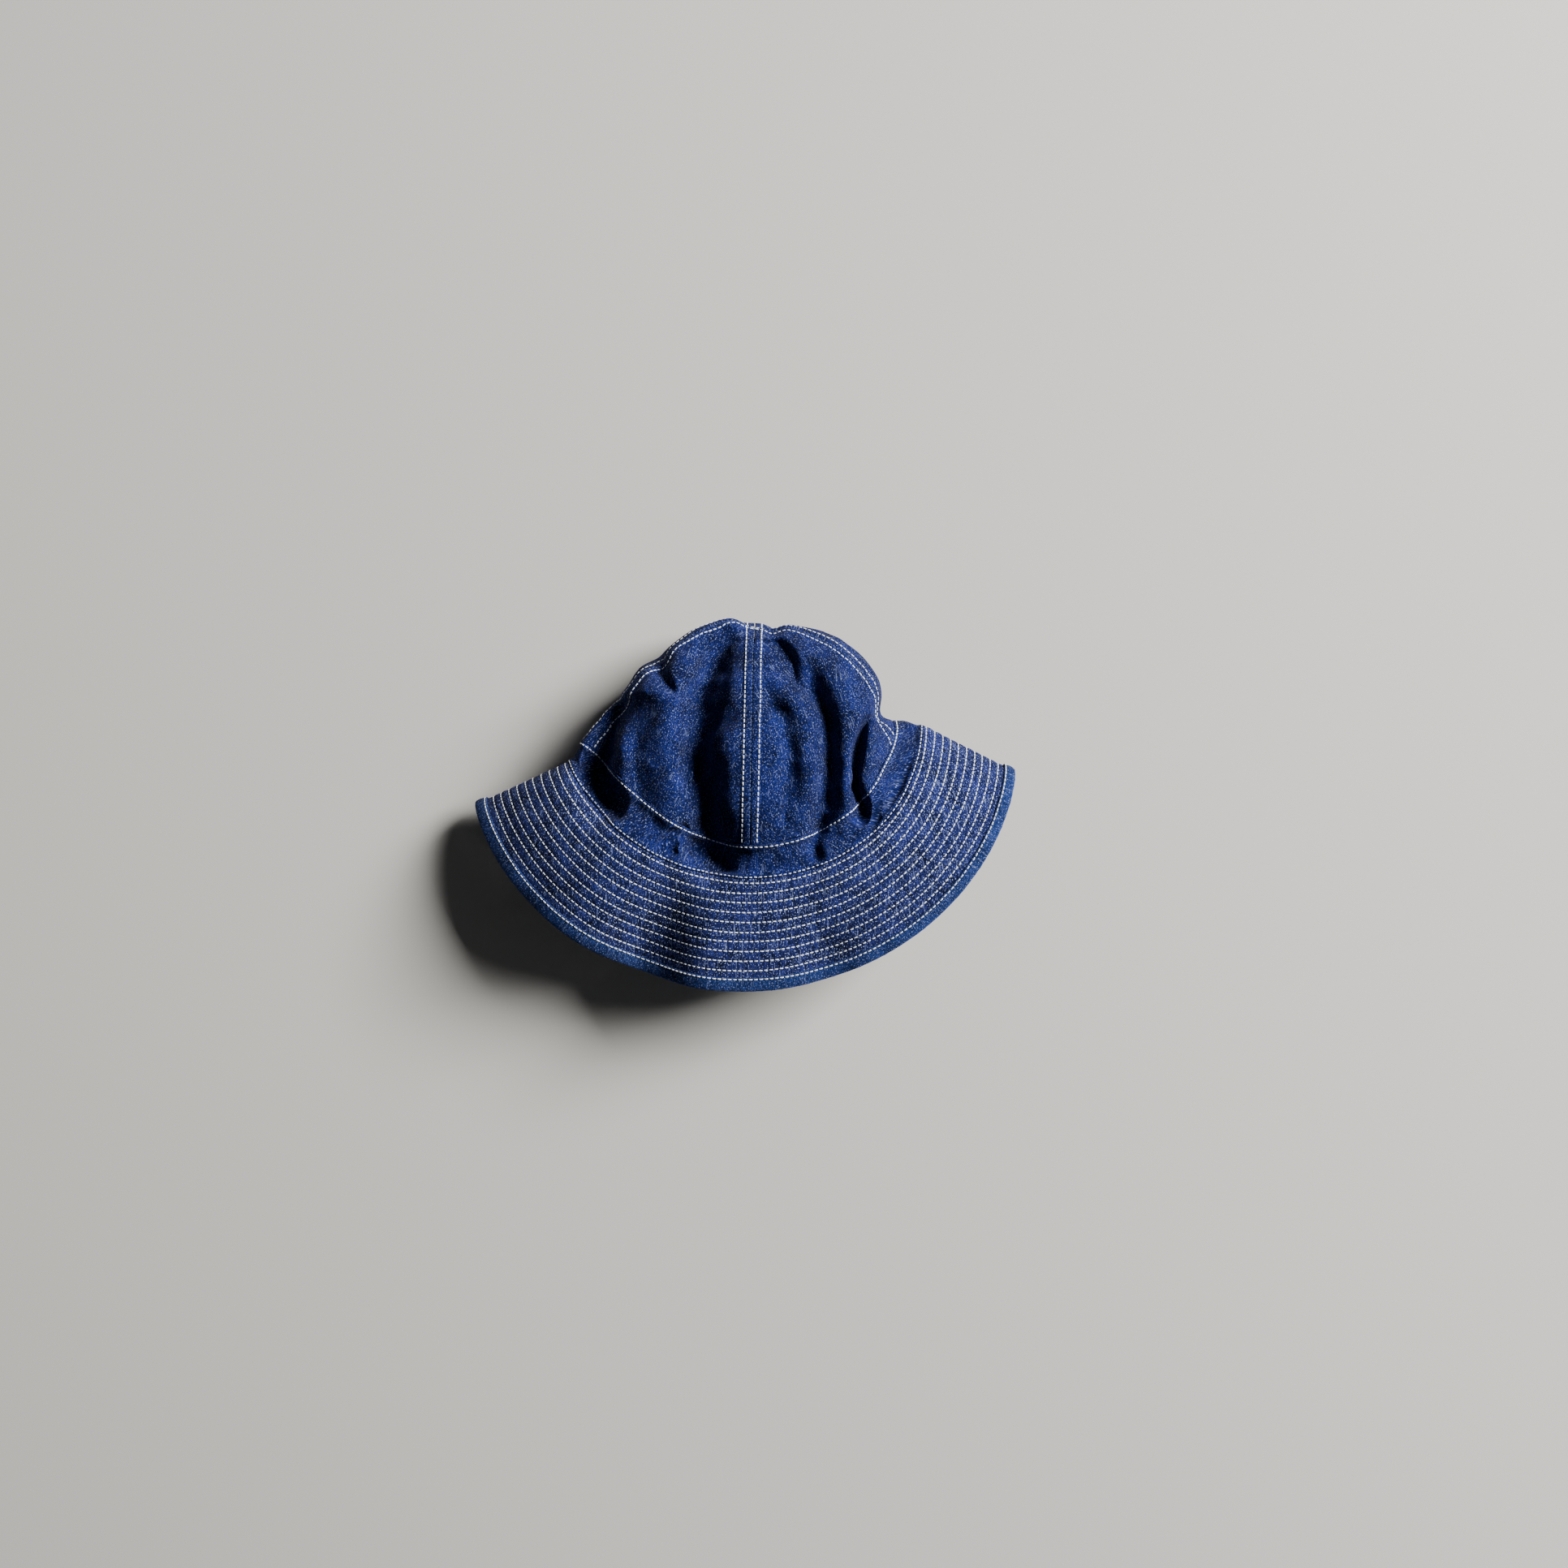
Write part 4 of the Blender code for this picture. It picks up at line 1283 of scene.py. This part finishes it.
class HAT_OT_stage(Operator):
    """Makes the floor, the lights and the camera."""

    bl_idname = "hat.stage"
    bl_label = "Stage"

    def execute(self, context):
        scene, studio = context.scene, context.scene.hat_studio
        mesh = bpy.data.meshes.new("floor")
        corners = ((-1, -1, 0), (1, -1, 0), (1, 1, 0), (-1, 1, 0))
        mesh.from_pydata((FLOOR_HALF * np.array(corners)).tolist(), [], [(0, 1, 2, 3)])
        mesh.materials.append(plain("floor_plain", scene.hat_colours.floor, 0.9))
        floor = placed("floor", mesh)
        light = bpy.data.lights.new("softbox", "AREA")
        light.shape = "SQUARE"
        light.size = studio.key_size
        light.energy = studio.key_power
        key = placed("softbox", light)
        reach = studio.key_distance * math.cos(studio.key_rise)
        key.location = (
            reach * math.cos(studio.key_turn),
            reach * math.sin(studio.key_turn),
            studio.key_distance * math.sin(studio.key_rise),
        )
        key.rotation_mode = "QUATERNION"
        key.rotation_quaternion = key.location.to_track_quat("Z", "Y")
        world = bpy.data.worlds.new("studio")
        world.use_nodes = True
        background = world.node_tree.nodes["Background"]
        background.inputs["Color"].default_value = SKY
        background.inputs["Strength"].default_value = studio.fill
        scene.world = world
        lens = bpy.data.cameras.new("camera")
        lens.sensor_width = SENSOR_WIDTH
        lens.lens = studio.lens
        camera = placed("camera", lens)
        camera.location = (studio.camera_x, studio.camera_y, studio.camera_height)
        scene.camera = camera
        return {"FINISHED"}


class HAT_PT_sidebar(Panel):
    """The steps that dress the hat, in the 3D view's sidebar."""

    bl_idname = "HAT_PT_sidebar"
    bl_label = "Sailor hat"
    bl_space_type = "VIEW_3D"
    bl_region_type = "UI"
    bl_category = "Sailor hat"

    def draw(self, context):
        for step in STEPS:
            self.layout.operator(step.bl_idname)
        for group in (getattr(context.scene, name) for name in GROUPS):
            box = self.layout.box()
            for name in group.bl_rna.properties.keys():
                if name not in ("rna_type", "name"):
                    box.prop(group, name)


STEPS = (
    HAT_OT_stage,
    HAT_OT_crown,
    HAT_OT_band,
    HAT_OT_brim,
    HAT_OT_binding,
    HAT_OT_brim_stitches,
    HAT_OT_crown_stitches,
)
GROUPS = {"hat_sizes": HatSizes, "hat_colours": HatColours, "hat_studio": HatStudio}


def register():
    for group in (*GROUPS.values(), *STEPS, HAT_PT_sidebar):
        bpy.utils.register_class(group)
    for name, group in GROUPS.items():
        setattr(bpy.types.Scene, name, PointerProperty(type=group))


def unregister():
    for name in GROUPS:
        delattr(bpy.types.Scene, name)
    for group in (HAT_PT_sidebar, *reversed(STEPS), *GROUPS.values()):
        bpy.utils.unregister_class(group)


def main():
    """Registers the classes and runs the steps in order."""
    register()
    for step in STEPS:
        family, name = step.bl_idname.split(".")
        getattr(getattr(bpy.ops, family), name)()


if __name__ == "__main__":
    main()
